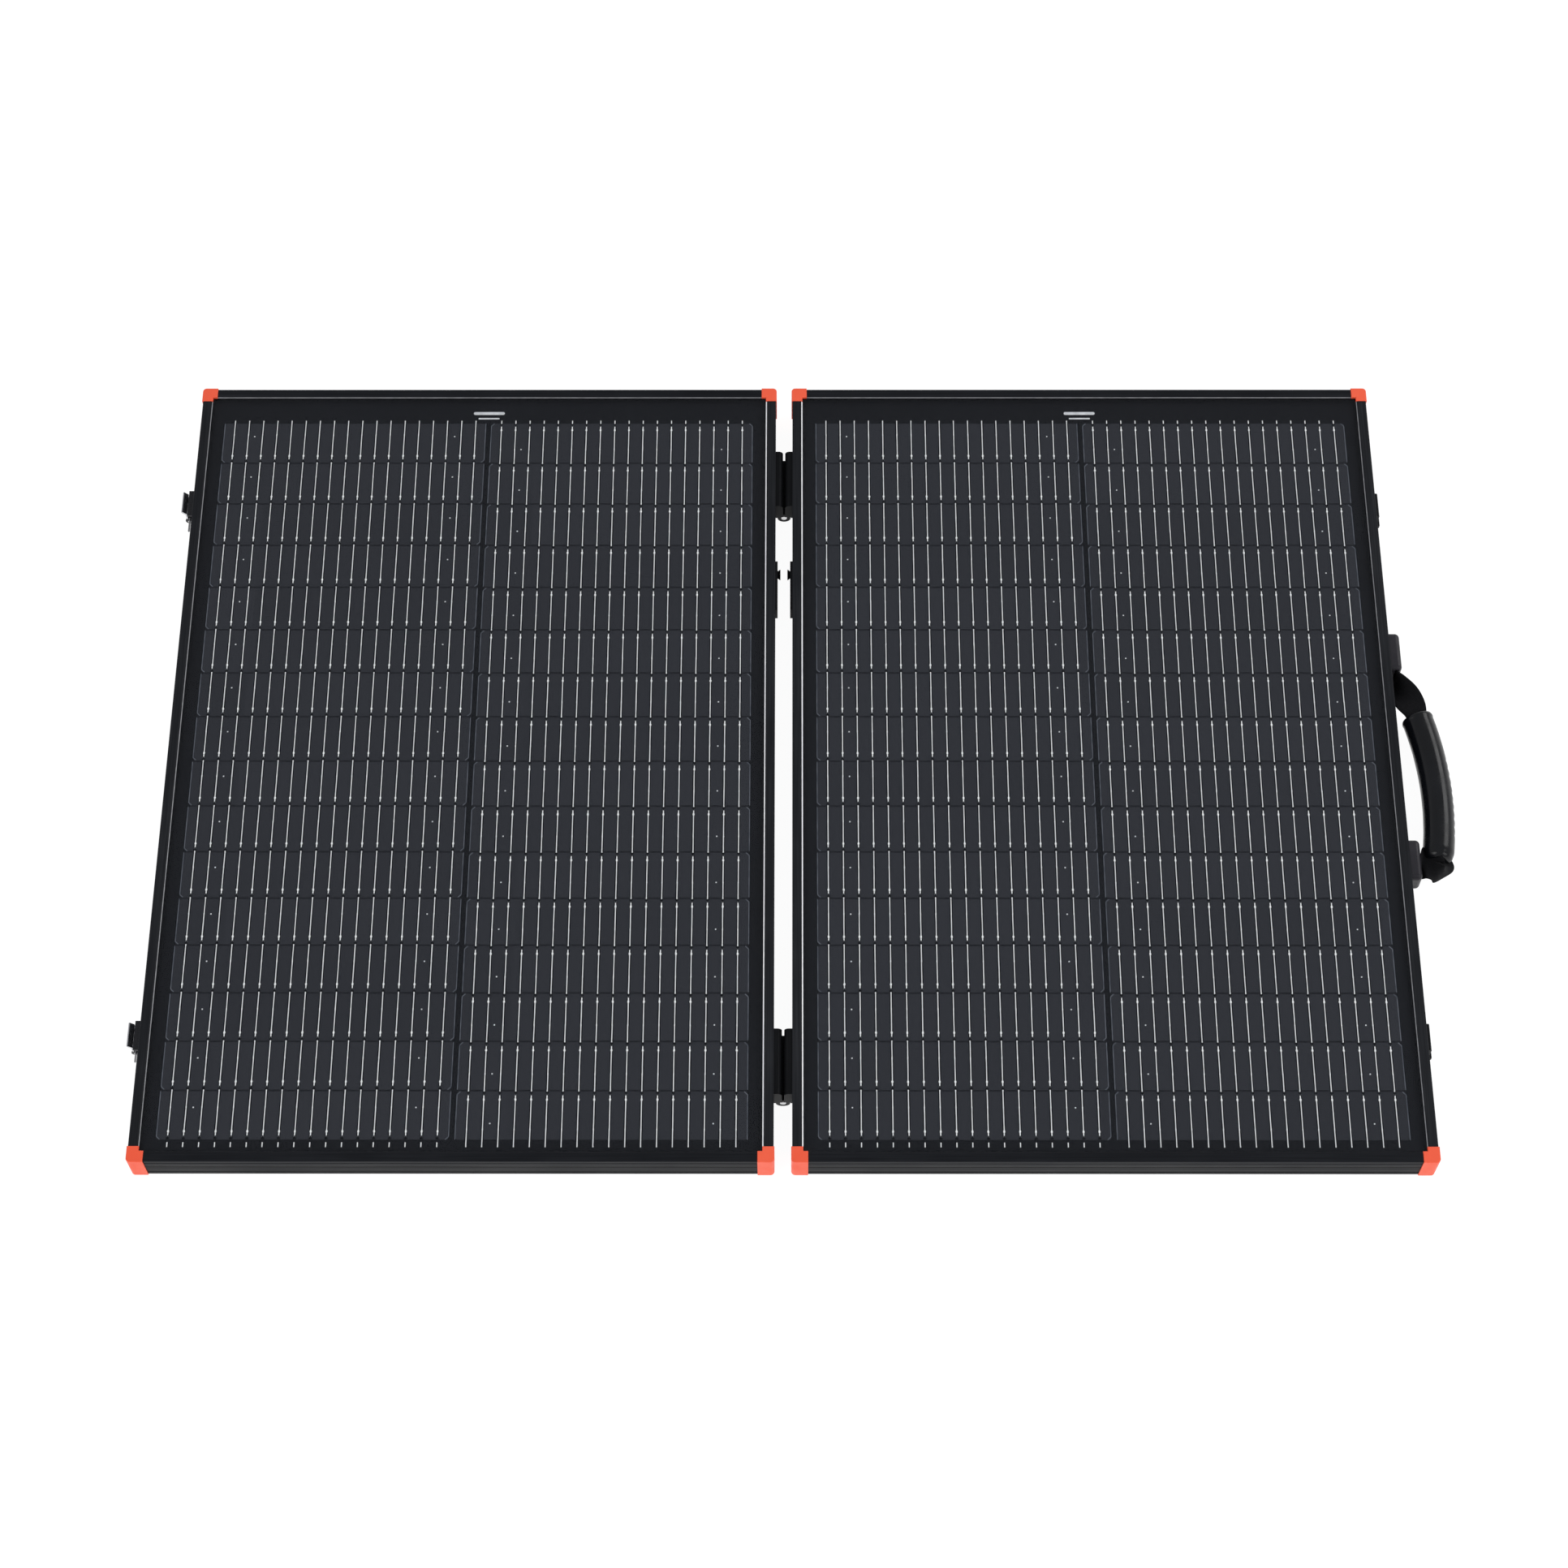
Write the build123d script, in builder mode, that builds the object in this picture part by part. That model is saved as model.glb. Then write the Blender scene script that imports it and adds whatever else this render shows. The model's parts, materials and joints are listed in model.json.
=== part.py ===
"""A folding solar suitcase kit, lying open and flat with its glass up.

Two framed photovoltaic panels are hinged back to back. Each carries a folding support stand in the
recess behind it, the left one also carries the charge controller. Draw latches, keepers and a
carrying handle are on the two outer walls, which meet when the case is shut.

Millimetres, +Z up, +X to the right panel, +Y to the far edge. The origin is under the middle of the
whole object, at the bottom of the hinge barrels.
"""

import os

from build123d import *

os.makedirs("parts", exist_ok=True)

# Driving dimensions
PANEL_W = 462.3  # one panel across, from inner to outer wall
LENGTH = 663.0  # a panel along the fold
THICK = 25.0  # frame height
GAP = 13.4  # between the two inner walls
LIP = 8.0  # frame seen beside the glass
BARREL_R = 5.2  # hinge barrel, which is the lowest point
AXIS_DROP = 1.1  # fold axis below the frames' undersides
CELL = (210.0, 37.1)  # one cut cell
CELL_PITCH = (214.6, 38.5)
CELL_ROWS = 16
FAR_MARGIN = 30.0  # far edge to first cell
LATCH_REACH = 9.0  # latch lip beyond the left outer wall
HANDLE_REACH = 39.5  # grip beyond the right outer wall
RUN = 0.05  # radial clearance of running fits

# Places that follow from them
AXIS_Z = BARREL_R
BASE = AXIS_Z + AXIS_DROP  # underside of the frames
FOLD_X = (LATCH_REACH - HANDLE_REACH) / 2
HALF = LENGTH / 2
WALL = 1.4  # extrusion wall
CHAMBER = (1.4, 6.8, 1.5, 18.0)  # hollow of the rail: inward from, to, height from, to
SEAT = 19.5  # height of the glazing groove's floor
LAMINATE = (0.5, 0.3, 3.2)  # backsheet, cells, glass
GLASS_TOP = SEAT + sum(LAMINATE)
EDGE = 1.8  # outer wall to laminate
FLANGE = (11.4, 1.5)  # foot of the rail: reach, thickness
CAP = 11.5  # leg of a corner cap, where the rails stop
PROUD = 0.7  # cap beyond the frame

LEFT = -1
RIGHT = 1
SIDES = {"left": LEFT, "right": RIGHT}
X = Vector(1, 0, 0)
Y = Vector(0, 1, 0)
Z = Vector(0, 0, 1)


def inner_wall(side):
    """X of a panel's wall beside the gap."""
    return FOLD_X + side * GAP / 2


def outer_wall(side):
    """X of a panel's wall away from the gap."""
    return FOLD_X + side * (GAP / 2 + PANEL_W)


def middle(side):
    """X of a panel's middle."""
    return FOLD_X + side * (GAP + PANEL_W) / 2


def write(piece, name):
    """Labels a finished piece and writes it."""
    piece.part.label = name
    export_step(piece.part, f"parts/{name}.step")


def block(low, high, mode=Mode.ADD):
    """A box between two corners, in the open part."""
    centre = [(a + b) / 2 for a, b in zip(low, high)]
    with Locations(Location(centre)):
        Box(*[abs(b - a) for a, b in zip(low, high)], mode=mode)


def bar(start, direction, radius, length, mode=Mode.ADD):
    """A round bar or hole from a point along a direction, in the open part."""
    with BuildSketch(Plane(origin=start, z_dir=direction)) as disc:
        Circle(radius)
    extrude(disc.sketch, amount=length, mode=mode)


def turned(points, origin, direction, normal=Y):
    """A turned piece in the open part: points are (distance along the axis, radius)."""
    with BuildSketch(Plane(origin=origin, x_dir=direction, z_dir=normal)) as profile:
        with BuildLine():
            Polyline(*points, close=True)
        make_face()
    revolve(profile.sketch, axis=Axis(origin, direction))


# ---------------------------------------------------------------- frames

GROOVES = (3.0, 20.2)  # fine lines along the outer face
GROOVE = (0.5, 0.8)  # their depth and height
BEVEL = 0.6
INNER_BEVEL = (1.5, 0.9)  # beside the glass: across, down
OUTLINE = [
    (0, 0),
    (FLANGE[0], 0),
    FLANGE,
    (LIP, FLANGE[1]),
    (LIP, SEAT),
    (EDGE, SEAT),
    (EDGE, GLASS_TOP),
    (LIP, GLASS_TOP),
    (LIP, THICK - INNER_BEVEL[1]),
    (LIP - INNER_BEVEL[0], THICK),
    (BEVEL, THICK),
    (0, THICK - BEVEL),
]

HINGE_Y = 250.9
HINGE_L = 51.5
SCREW_Y = 16.0  # hinge screws either side of a hinge's middle
SCREW_H = 10.0
SCREW_R = 2.0
PIVOT_Y = 166.3
PIVOT_H = 9.0
PIVOT_R = 3.0


def rail(name, middle_point, inward, length, holes=()):
    """One hollow extruded side, square cut: holes are (place along Y, height, radius, depth)."""
    along = inward.cross(Z)
    with BuildPart() as piece:
        start = middle_point - along * (length / 2)
        with BuildSketch(Plane(origin=start, x_dir=inward, z_dir=along)):
            with BuildLine():
                Polyline(*OUTLINE, close=True)
            make_face()
            with Locations(((CHAMBER[0] + CHAMBER[1]) / 2, (CHAMBER[2] + CHAMBER[3]) / 2)):
                Rectangle(CHAMBER[1] - CHAMBER[0], CHAMBER[3] - CHAMBER[2], mode=Mode.SUBTRACT)
            for height in GROOVES:
                with Locations((0, height + GROOVE[1] / 2)):
                    Rectangle(2 * GROOVE[0], GROOVE[1], mode=Mode.SUBTRACT)
        extrude(amount=length)
        for place, height, radius, depth in holes:
            mouth = Vector(middle_point.X, place, BASE + height)
            bar(mouth, inward, radius, depth, Mode.SUBTRACT)
    write(piece, name)


def frame(name, side):
    """The four rails of a panel."""
    long_side = LENGTH - 2 * CAP
    short_side = PANEL_W - 2 * CAP
    inner_holes = [(PIVOT_Y, PIVOT_H, PIVOT_R, LIP)]
    for hinge in (-HINGE_Y, HINGE_Y):
        for step in (-SCREW_Y, SCREW_Y):
            inner_holes.append((hinge + step, SCREW_H, SCREW_R, WALL))
    outer_holes = [(PIVOT_Y, PIVOT_H, PIVOT_R, LIP)]
    rail(f"{name}_frame_inner", Vector(inner_wall(side), 0, BASE), X * side, long_side, inner_holes)
    rail(f"{name}_frame_outer", Vector(outer_wall(side), 0, BASE), X * -side, long_side, outer_holes)
    rail(f"{name}_frame_far", Vector(middle(side), HALF, BASE), -Y, short_side)
    rail(f"{name}_frame_near", Vector(middle(side), -HALF, BASE), Y, short_side)


TONGUE = 16.0  # how far a cap's tongue goes into a rail
TONGUE_FIT = 0.1
CAP_ROUND = 3.0
CAP_SOFT = 0.6


def corner_cap(corner_x, corner_y, to_x, to_y):
    """A moulded corner: an L that continues the frame, with a tongue each way."""

    def place(a, b):
        return (corner_x + to_x * a, corner_y + to_y * b)

    with BuildPart() as cap:
        with BuildSketch(Plane.XY.offset(BASE - PROUD)):
            with BuildLine():
                Polyline(
                    place(-PROUD, -PROUD),
                    place(CAP, -PROUD),
                    place(CAP, LIP),
                    place(LIP, LIP),
                    place(LIP, CAP),
                    place(-PROUD, CAP),
                    close=True,
                )
            make_face()
        extrude(amount=THICK + 2 * PROUD)
        outer = Vector(*place(-PROUD, -PROUD), 0)
        upright = cap.edges().filter_by(Axis.Z)
        nearest = min(upright, key=lambda e: (Vector(e.center().X, e.center().Y, 0) - outer).length)
        fillet(nearest, CAP_ROUND)
        fillet(cap.faces().sort_by(Axis.Z)[-1].edges(), CAP_SOFT)
        pocket = [*place(EDGE, EDGE), BASE + SEAT], [*place(CAP + 1, CAP + 1), BASE + GLASS_TOP]
        block(*pocket, mode=Mode.SUBTRACT)
        low, high = CHAMBER[0] + TONGUE_FIT, CHAMBER[1] - TONGUE_FIT
        floor, roof = BASE + CHAMBER[2] + TONGUE_FIT, BASE + CHAMBER[3] - TONGUE_FIT
        block([*place(LIP, low), floor], [*place(CAP + TONGUE, high), roof])
        block([*place(low, LIP), floor], [*place(high, CAP + TONGUE), roof])
    return cap.part


def corner_caps(name, side):
    """The four corners of a panel."""
    corners = []
    for wall, to_x in ((inner_wall(side), side), (outer_wall(side), -side)):
        for to_y in (-1, 1):
            corners.append(corner_cap(wall, -to_y * HALF, to_x, to_y))
    with BuildPart() as caps:
        add(corners)
    write(caps, f"{name}_corner_caps")


# ---------------------------------------------------------------- laminate


def sheet_layer(name, side, low, high):
    """A layer over the whole laminate."""
    with BuildPart() as layer:
        half_w = PANEL_W / 2 - EDGE
        block(
            [middle(side) - half_w, EDGE - HALF, BASE + low],
            [middle(side) + half_w, HALF - EDGE, BASE + high],
        )
    write(layer, name)


CELL_CLIP = 2.0  # corner of a cell


def laminate(name, side):
    """Backsheet, the cut cells in two columns, and the glass."""
    cells_low = SEAT + LAMINATE[0]
    cells_high = cells_low + LAMINATE[1]
    sheet_layer(f"{name}_backsheet", side, SEAT, cells_low)
    sheet_layer(f"{name}_glass", side, cells_high, GLASS_TOP)
    first = HALF - FAR_MARGIN - CELL[1] / 2
    centre_y = first - (CELL_ROWS - 1) * CELL_PITCH[1] / 2
    with BuildPart() as cells:
        with BuildSketch(Plane.XY.offset(BASE + cells_low)):
            with Locations((middle(side), centre_y)):
                with GridLocations(*CELL_PITCH, 2, CELL_ROWS):
                    RectangleRounded(*CELL, CELL_CLIP)
        extrude(amount=LAMINATE[1])
    write(cells, f"{name}_cells")


# ---------------------------------------------------------------- junction boxes

BOX = (104.0, 64.0)
BOX_Y = 262.0
BOX_LOW = 4.5
BOX_WALL = 2.0
LID = 2.0
LID_RIM = 1.5
GLAND_X = 26.0  # each gland from the box's middle
GLAND_H = 12.0
GLAND_BORE = 2.75
GLAND_L = 19.0
GLAND = [
    (-BOX_WALL, GLAND_BORE),
    (-BOX_WALL, 4.4),
    (0, 4.4),
    (0, 6.4),
    (5, 6.4),
    (5, 6.0),
    (12, 6.0),
    (15, 5.4),
    (17, 4.0),
    (17, GLAND_BORE),
]


def junction_box(name, side):
    """The box behind the far end of a panel, its lid, and the two cable glands on its near wall."""
    x = middle(side)
    with BuildPart() as box:
        with BuildSketch(Plane.XY.offset(BASE + BOX_LOW)):
            with Locations((x, BOX_Y)):
                RectangleRounded(*BOX, 5)
        extrude(amount=SEAT - BOX_LOW)
        with BuildSketch(Plane.XY.offset(BASE + BOX_LOW)):
            with Locations((x, BOX_Y)):
                RectangleRounded(BOX[0] - 2 * BOX_WALL, BOX[1] - 2 * BOX_WALL, 3)
        extrude(amount=SEAT - BOX_LOW - BOX_WALL, mode=Mode.SUBTRACT)
        for step in (-GLAND_X, GLAND_X):
            mouth = Vector(x + step, BOX_Y - BOX[1] / 2, BASE + GLAND_H)
            bar(mouth, Y, 4.4, BOX_WALL, Mode.SUBTRACT)
    write(box, f"{name}_junction_box")
    with BuildPart() as lid:
        with BuildSketch(Plane.XY.offset(BASE + BOX_LOW - LID)):
            with Locations((x, BOX_Y)):
                RectangleRounded(*BOX, 5)
        extrude(amount=LID)
        chamfer(lid.faces().sort_by(Axis.Z)[0].edges(), 0.8)
        with BuildSketch(Plane.XY.offset(BASE + BOX_LOW)):
            with Locations((x, BOX_Y)):
                RectangleRounded(BOX[0] - 2 * BOX_WALL - 0.4, BOX[1] - 2 * BOX_WALL - 0.4, 3)
                RectangleRounded(BOX[0] - 4 * BOX_WALL, BOX[1] - 4 * BOX_WALL, 3, mode=Mode.SUBTRACT)
        extrude(amount=LID_RIM)
    write(lid, f"{name}_junction_lid")
    with BuildPart() as glands:
        for step in (-GLAND_X, GLAND_X):
            turned(GLAND, Vector(x + step, BOX_Y - BOX[1] / 2, BASE + GLAND_H), -Y, X)
    write(glands, f"{name}_cable_glands")


# ---------------------------------------------------------------- fold hinges

LEAF_TOP = 18.4  # above the axis
LEAF_FOOT = 0.6
SLOT = 1.7  # between the two leaves
LEAF_ROUND = 3.5
KNUCKLE_CLEAR = 0.3
PIN_R = 2.5
KNUCKLES = 3


def hinge_leaf(side, hinge_y):
    """An extruded leaf with every other knuckle."""
    wall = inner_wall(side)
    slot_face = FOLD_X + side * SLOT / 2
    with BuildPart() as leaf:
        block(
            [slot_face, hinge_y - HINGE_L / 2, AXIS_Z + LEAF_FOOT],
            [wall, hinge_y + HINGE_L / 2, AXIS_Z + LEAF_TOP],
        )
        top = leaf.edges().filter_by(Axis.Y).group_by(Axis.Z)[-1].sort_by(Axis.X)
        fillet(top[0] if side == RIGHT else top[-1], LEAF_ROUND)
        pitch = HINGE_L / KNUCKLES
        for n in range(KNUCKLES):
            start = Vector(FOLD_X, hinge_y - HINGE_L / 2 + n * pitch, AXIS_Z)
            if (n % 2 == 0) == (side == LEFT):
                trim = KNUCKLE_CLEAR / 2
                bar(start + Y * trim, Y, BARREL_R, pitch - 2 * trim)
            else:
                bar(start - Y * 0.15, Y, BARREL_R + KNUCKLE_CLEAR, pitch + 0.3, Mode.SUBTRACT)
        ends = Vector(FOLD_X, hinge_y - HINGE_L / 2, AXIS_Z)
        bore = PIN_R if side == LEFT else PIN_R + RUN
        bar(ends, Y, bore, HINGE_L, Mode.SUBTRACT)
        for step in (-SCREW_Y, SCREW_Y):
            head = Vector(slot_face, hinge_y + step, BASE + SCREW_H)
            bar(head, X * side, SCREW_R, GAP, Mode.SUBTRACT)
            bar(head, X * side, SCREW_R + 1.6, 1.8, Mode.SUBTRACT)
    return leaf.part


def hinges():
    """Two hinges, far and near, as leaves, pins and screws."""
    for name, side in SIDES.items():
        pair = [hinge_leaf(side, hinge) for hinge in (-HINGE_Y, HINGE_Y)]
        with BuildPart() as leaves:
            add(pair)
        write(leaves, f"hinge_leaves_{name}")
        with BuildPart() as screws:
            slot_face = FOLD_X + side * SLOT / 2
            profile = [(0.3, 0), (0.3, SCREW_R + 1.6), (1.8, SCREW_R + 1.6), (1.8, SCREW_R)]
            profile += [(GAP / 2 + 3.5, SCREW_R), (GAP / 2 + 3.5, 0)]
            for hinge in (-HINGE_Y, HINGE_Y):
                for step in (-SCREW_Y, SCREW_Y):
                    turned(profile, Vector(slot_face, hinge + step, BASE + SCREW_H), X * side)
        write(screws, f"hinge_screws_{name}")
    with BuildPart() as pins:
        for hinge in (-HINGE_Y, HINGE_Y):
            bar(Vector(FOLD_X, hinge - HINGE_L / 2, AXIS_Z), Y, PIN_R, HINGE_L)
        chamfer(pins.edges(), 0.4)
    write(pins, "hinge_pins")


# ---------------------------------------------------------------- support stands

LEG = (13.5, 3.0, 16.0)  # inward of the wall, thickness, width
LEG_FOOT_Y = -215.0
CROSSBAR_Y = -188.0
CROSSBAR_R = 6.0
FOOT_R = 9.5
FOOT_TOP_Y = -199.0
FOOT_WALL = 1.1
PLATE = (44.0, 18.0, 1.8)  # pivot plate: along Y, height, thickness
PLATE_Y = 151.5
STUD = [(-4.0, 0), (-4.0, 4.0), (-3.7, 4.25), (-1.8, 2.9), (-1.8, PIVOT_R)]
HEAD = [(-1.0, 0), (-1.0, 4.6), (0, 5.2), (0, PIVOT_R)]
JOURNAL = [
    (LIP, PIVOT_R),
    (LIP, 4.5),
    (LEG[0] - 0.1, 4.5),
    (LEG[0] - 0.1, PIVOT_R),
    (LEG[0] + LEG[1] + 0.15, PIVOT_R),
    (LEG[0] + LEG[1] + 0.15, 5.0),
    (LEG[0] + LEG[1] + 1.6, 5.0),
    (LEG[0] + LEG[1] + 2.1, 4.5),
    (LEG[0] + LEG[1] + 2.1, 0),
]


def stand(name, side):
    """The stand behind a panel, folded away: two legs on pivots, a crossbar and two feet."""
    walls = ((inner_wall(side), side), (outer_wall(side), -side))
    with BuildPart() as legs:
        for wall, inward in walls:
            face = wall + inward * LEG[0]
            mid_y = (PIVOT_Y + LEG_FOOT_Y) / 2
            centre = Vector(face, mid_y, BASE + PIVOT_H)
            with BuildSketch(Plane(origin=centre, x_dir=Y, z_dir=X * inward)):
                SlotCenterToCenter(PIVOT_Y - LEG_FOOT_Y, LEG[2])
                with Locations((PIVOT_Y - mid_y, 0)):
                    Circle(PIVOT_R + RUN, mode=Mode.SUBTRACT)
            extrude(amount=LEG[1])
    write(legs, f"{name}_stand_legs")
    with BuildPart() as crossbar:
        from_x = inner_wall(side) + side * (LEG[0] + LEG[1])
        reach = PANEL_W - 2 * (LEG[0] + LEG[1])
        start = Vector(from_x, CROSSBAR_Y, BASE + PIVOT_H)
        bar(start, X * side, CROSSBAR_R, reach)
        bar(start, X * side, CROSSBAR_R - 1.2, reach, Mode.SUBTRACT)
    write(crossbar, f"{name}_stand_crossbar")
    with BuildPart() as feet:
        for wall, inward in walls:
            face = wall + inward * (LEG[0] - FOOT_WALL)
            centre = Vector(face, LEG_FOOT_Y, BASE + PIVOT_H)
            back = FOOT_TOP_Y - LEG_FOOT_Y
            with BuildSketch(Plane(origin=centre, x_dir=Y, z_dir=X * inward)):
                Circle(FOOT_R)
                with Locations((back / 2, 0)):
                    Rectangle(back, 2 * FOOT_R)
            extrude(amount=LEG[1] + 2 * FOOT_WALL)
            pocket = Vector(wall + inward * LEG[0], LEG_FOOT_Y, BASE + PIVOT_H)
            with BuildSketch(Plane(origin=pocket, x_dir=Y, z_dir=X * inward)):
                Circle(LEG[2] / 2)
                with Locations((back / 2, 0)):
                    Rectangle(back, LEG[2])
            extrude(amount=LEG[1], mode=Mode.SUBTRACT)
    write(feet, f"{name}_stand_feet")
    with BuildPart() as plate:
        wall = inner_wall(side)
        with BuildSketch(Plane(origin=Vector(wall, PLATE_Y, BASE + PIVOT_H + 2), x_dir=Y, z_dir=X * -side)):
            RectangleRounded(PLATE[0], PLATE[1], 3)
        extrude(amount=PLATE[2])
        mouth = Vector(wall, PIVOT_Y, BASE + PIVOT_H)
        bar(mouth, X * -side, PIVOT_R, PLATE[2], Mode.SUBTRACT)
    write(plate, f"{name}_pivot_plate")
    with BuildPart() as pivots:
        for (wall, inward), head in zip(walls, (STUD, HEAD)):
            turned(head + JOURNAL, Vector(wall, PIVOT_Y, BASE + PIVOT_H), X * inward)
    write(pivots, f"{name}_stand_pivots")


# ---------------------------------------------------------------- draw latches and keepers

LATCH_YS = {"far": 225.3, "near": -232.5}
LATCH_W = 23.0
LATCH_PLATE = (1.2, 2.0, 21.2)  # thickness, height from, to
LATCH_SHELF = 4.4  # fold along the plate's top edge
LEVER_P = (4.2, 9.0)  # lever pin, outward of the wall and above the frame's underside
BAIL_P = (3.2, 14.0)  # bail's ends in the lever
BAIL_TIP = (7.3, -4.6)
EAR = (8.0, 9.0)  # base ears, from and to, either side of the middle
LEVER_EAR = (6.6, 7.6)
LEVER_PIN_R = 1.5
BAIL_WIRE = 0.8
BAIL_HALF = 10.6
LEVER_SIDE = [(2.0, 9.0), (5.6, 8.0), (5.6, 19.0), (4.6, 19.0), (2.0, 16.0)]
LEVER_NECK = [(5.0, 8.0), (6.2, 8.0), (6.2, 12.9), (5.0, 12.9)]
LEVER_FACE = [
    (5.0, 12.9),
    (6.2, 12.9),
    (6.2, 18.6),
    (9.0, 21.6),
    (8.8, 22.9),
    (8.0, 22.9),
    (5.0, 19.6),
]
LEVER_HALF = 9.3


def latch_plane(latch_y, offset):
    """A section of the left outer wall's latch: x outward, y up."""
    origin = Vector(outer_wall(LEFT), latch_y + offset, BASE)
    return Plane(origin=origin, x_dir=-X, z_dir=Y)


def latch_point(latch_y, offset, place):
    """A point given outward of the left outer wall and above the frame's underside."""
    return Vector(outer_wall(LEFT) - place[0], latch_y + offset, BASE + place[1])


def section(points, latch_y, start, width):
    """A plate of a latch in the open part, from its outline."""
    with BuildSketch(latch_plane(latch_y, start)) as outline:
        with BuildLine():
            Polyline(*points, close=True)
        make_face()
    extrude(outline.sketch, amount=width)


def latch_bases():
    """Base plates with two ears each, their lever pins, and rivets."""
    thick, low, high = LATCH_PLATE
    with BuildPart() as bases:
        for latch_y in LATCH_YS.values():
            plate = [(0, low), (thick, low), (thick, high), (0, high)]
            section(plate, latch_y, -LATCH_W / 2, LATCH_W)
            shelf = [(0, high - thick), (LATCH_SHELF, high - thick), (LATCH_SHELF, high), (0, high)]
            section(shelf, latch_y, -LATCH_W / 2, LATCH_W)
            for start in (-EAR[1], EAR[0]):
                ear = [(0, LEVER_P[1] - 3.4), (LEVER_P[0], LEVER_P[1] - 3.4)]
                ear += [(LEVER_P[0], LEVER_P[1] + 3.4), (0, LEVER_P[1] + 3.4)]
                section(ear, latch_y, start, EAR[1] - EAR[0])
                bar(latch_point(latch_y, start, LEVER_P), Y, 3.4, EAR[1] - EAR[0])
                bar(latch_point(latch_y, start, LEVER_P), Y, LEVER_PIN_R, 1.0, Mode.SUBTRACT)
            for rivet in (-4.0, 4.0):
                bar(latch_point(latch_y, rivet, (0, 4.0)), -X, 1.2, thick, Mode.SUBTRACT)
    write(bases, "latch_bases")
    with BuildPart() as pins:
        for latch_y in LATCH_YS.values():
            start = latch_point(latch_y, -EAR[1] - 0.5, LEVER_P)
            bar(start, Y, LEVER_PIN_R, 2 * EAR[1] + 1.0)
    write(pins, "latch_pins")
    with BuildPart() as rivets:
        for latch_y in LATCH_YS.values():
            for rivet in (-4.0, 4.0):
                shank = [(0, 0), (0, 1.2), (thick, 1.2), (thick, 2.0), (thick + 0.4, 1.6), (thick + 0.4, 0)]
                turned(shank, latch_point(latch_y, rivet, (0, 4.0)), -X)
    write(rivets, "latch_rivets")


def latch_lever(name, latch_y):
    """A pressed lever: a curved-lip face between two sides."""
    with BuildPart() as lever:
        section(LEVER_NECK, latch_y, -LEVER_EAR[1], 2 * LEVER_EAR[1])
        section(LEVER_FACE, latch_y, -LEVER_HALF, 2 * LEVER_HALF)
        for start in (-LEVER_EAR[1], LEVER_EAR[0]):
            section(LEVER_SIDE, latch_y, start, LEVER_EAR[1] - LEVER_EAR[0])
            bar(latch_point(latch_y, start, LEVER_P), Y, 2.6, LEVER_EAR[1] - LEVER_EAR[0])
        through = 2 * LEVER_EAR[1]
        bar(latch_point(latch_y, -LEVER_EAR[1], LEVER_P), Y, LEVER_PIN_R + RUN, through, Mode.SUBTRACT)
        bar(latch_point(latch_y, -LEVER_EAR[1], BAIL_P), Y, BAIL_WIRE + RUN, through, Mode.SUBTRACT)
    write(lever, name)


def latch_bail(name, latch_y):
    """A wire loop whose two ends turn in the lever's sides."""
    drop = Vector(*BAIL_TIP) - Vector(*BAIL_P)
    down = Vector(-drop.X, 0, drop.Y).normalized()
    plane = Plane(origin=latch_point(latch_y, 0, BAIL_P), x_dir=Y, z_dir=Y.cross(down))
    with BuildPart() as bail:
        inside = LEVER_EAR[0] - 0.2
        with BuildLine(plane) as wire:
            FilletPolyline(
                (-inside, 0),
                (-BAIL_HALF, 0),
                (-BAIL_HALF, drop.length),
                (BAIL_HALF, drop.length),
                (BAIL_HALF, 0),
                (inside, 0),
                radius=1.8,
            )
        with BuildSketch(Plane(origin=wire.line @ 0, z_dir=wire.line % 0)):
            Circle(BAIL_WIRE)
        sweep()
    write(bail, name)


KEEPER = [
    (0, 0.6),
    (4.9, 0.6),
    (5.6, 1.4),
    (5.6, 4.6),
    (4.5, 4.6),
    (4.5, 1.8),
    (3.4, 1.8),
    (1.6, 1.8),
    (1.6, 6.0),
    (3.2, 7.6),
    (3.2, 18.2),
    (2.4, 19.0),
    (0, 19.0),
]
KEEPER_W = 21.0
KEEPER_RIVET = 6.0


def keepers():
    """Hooked keepers on the right outer wall, which the bails reach when the case is shut."""
    wall = outer_wall(RIGHT)
    with BuildPart() as hooks:
        for keeper_y in LATCH_YS.values():
            origin = Vector(wall, keeper_y + KEEPER_W / 2, BASE)
            with BuildSketch(Plane(origin=origin, x_dir=X, z_dir=-Y)):
                with BuildLine():
                    Polyline(*KEEPER, close=True)
                make_face()
            extrude(amount=KEEPER_W)
            for rivet in (-KEEPER_RIVET, KEEPER_RIVET):
                mouth = Vector(wall, keeper_y + rivet, BASE + 13.0)
                bar(mouth, X, 1.6, 3.2, Mode.SUBTRACT)
    write(hooks, "keepers")
    with BuildPart() as rivets:
        for keeper_y in LATCH_YS.values():
            for rivet in (-KEEPER_RIVET, KEEPER_RIVET):
                shank = [(0, 0), (0, 1.6), (3.2, 1.6), (3.2, 2.6), (3.7, 2.1), (3.7, 0)]
                turned(shank, Vector(wall, keeper_y + rivet, BASE + 13.0), X)
    write(rivets, "keeper_rivets")


# ---------------------------------------------------------------- carrying handle

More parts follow.
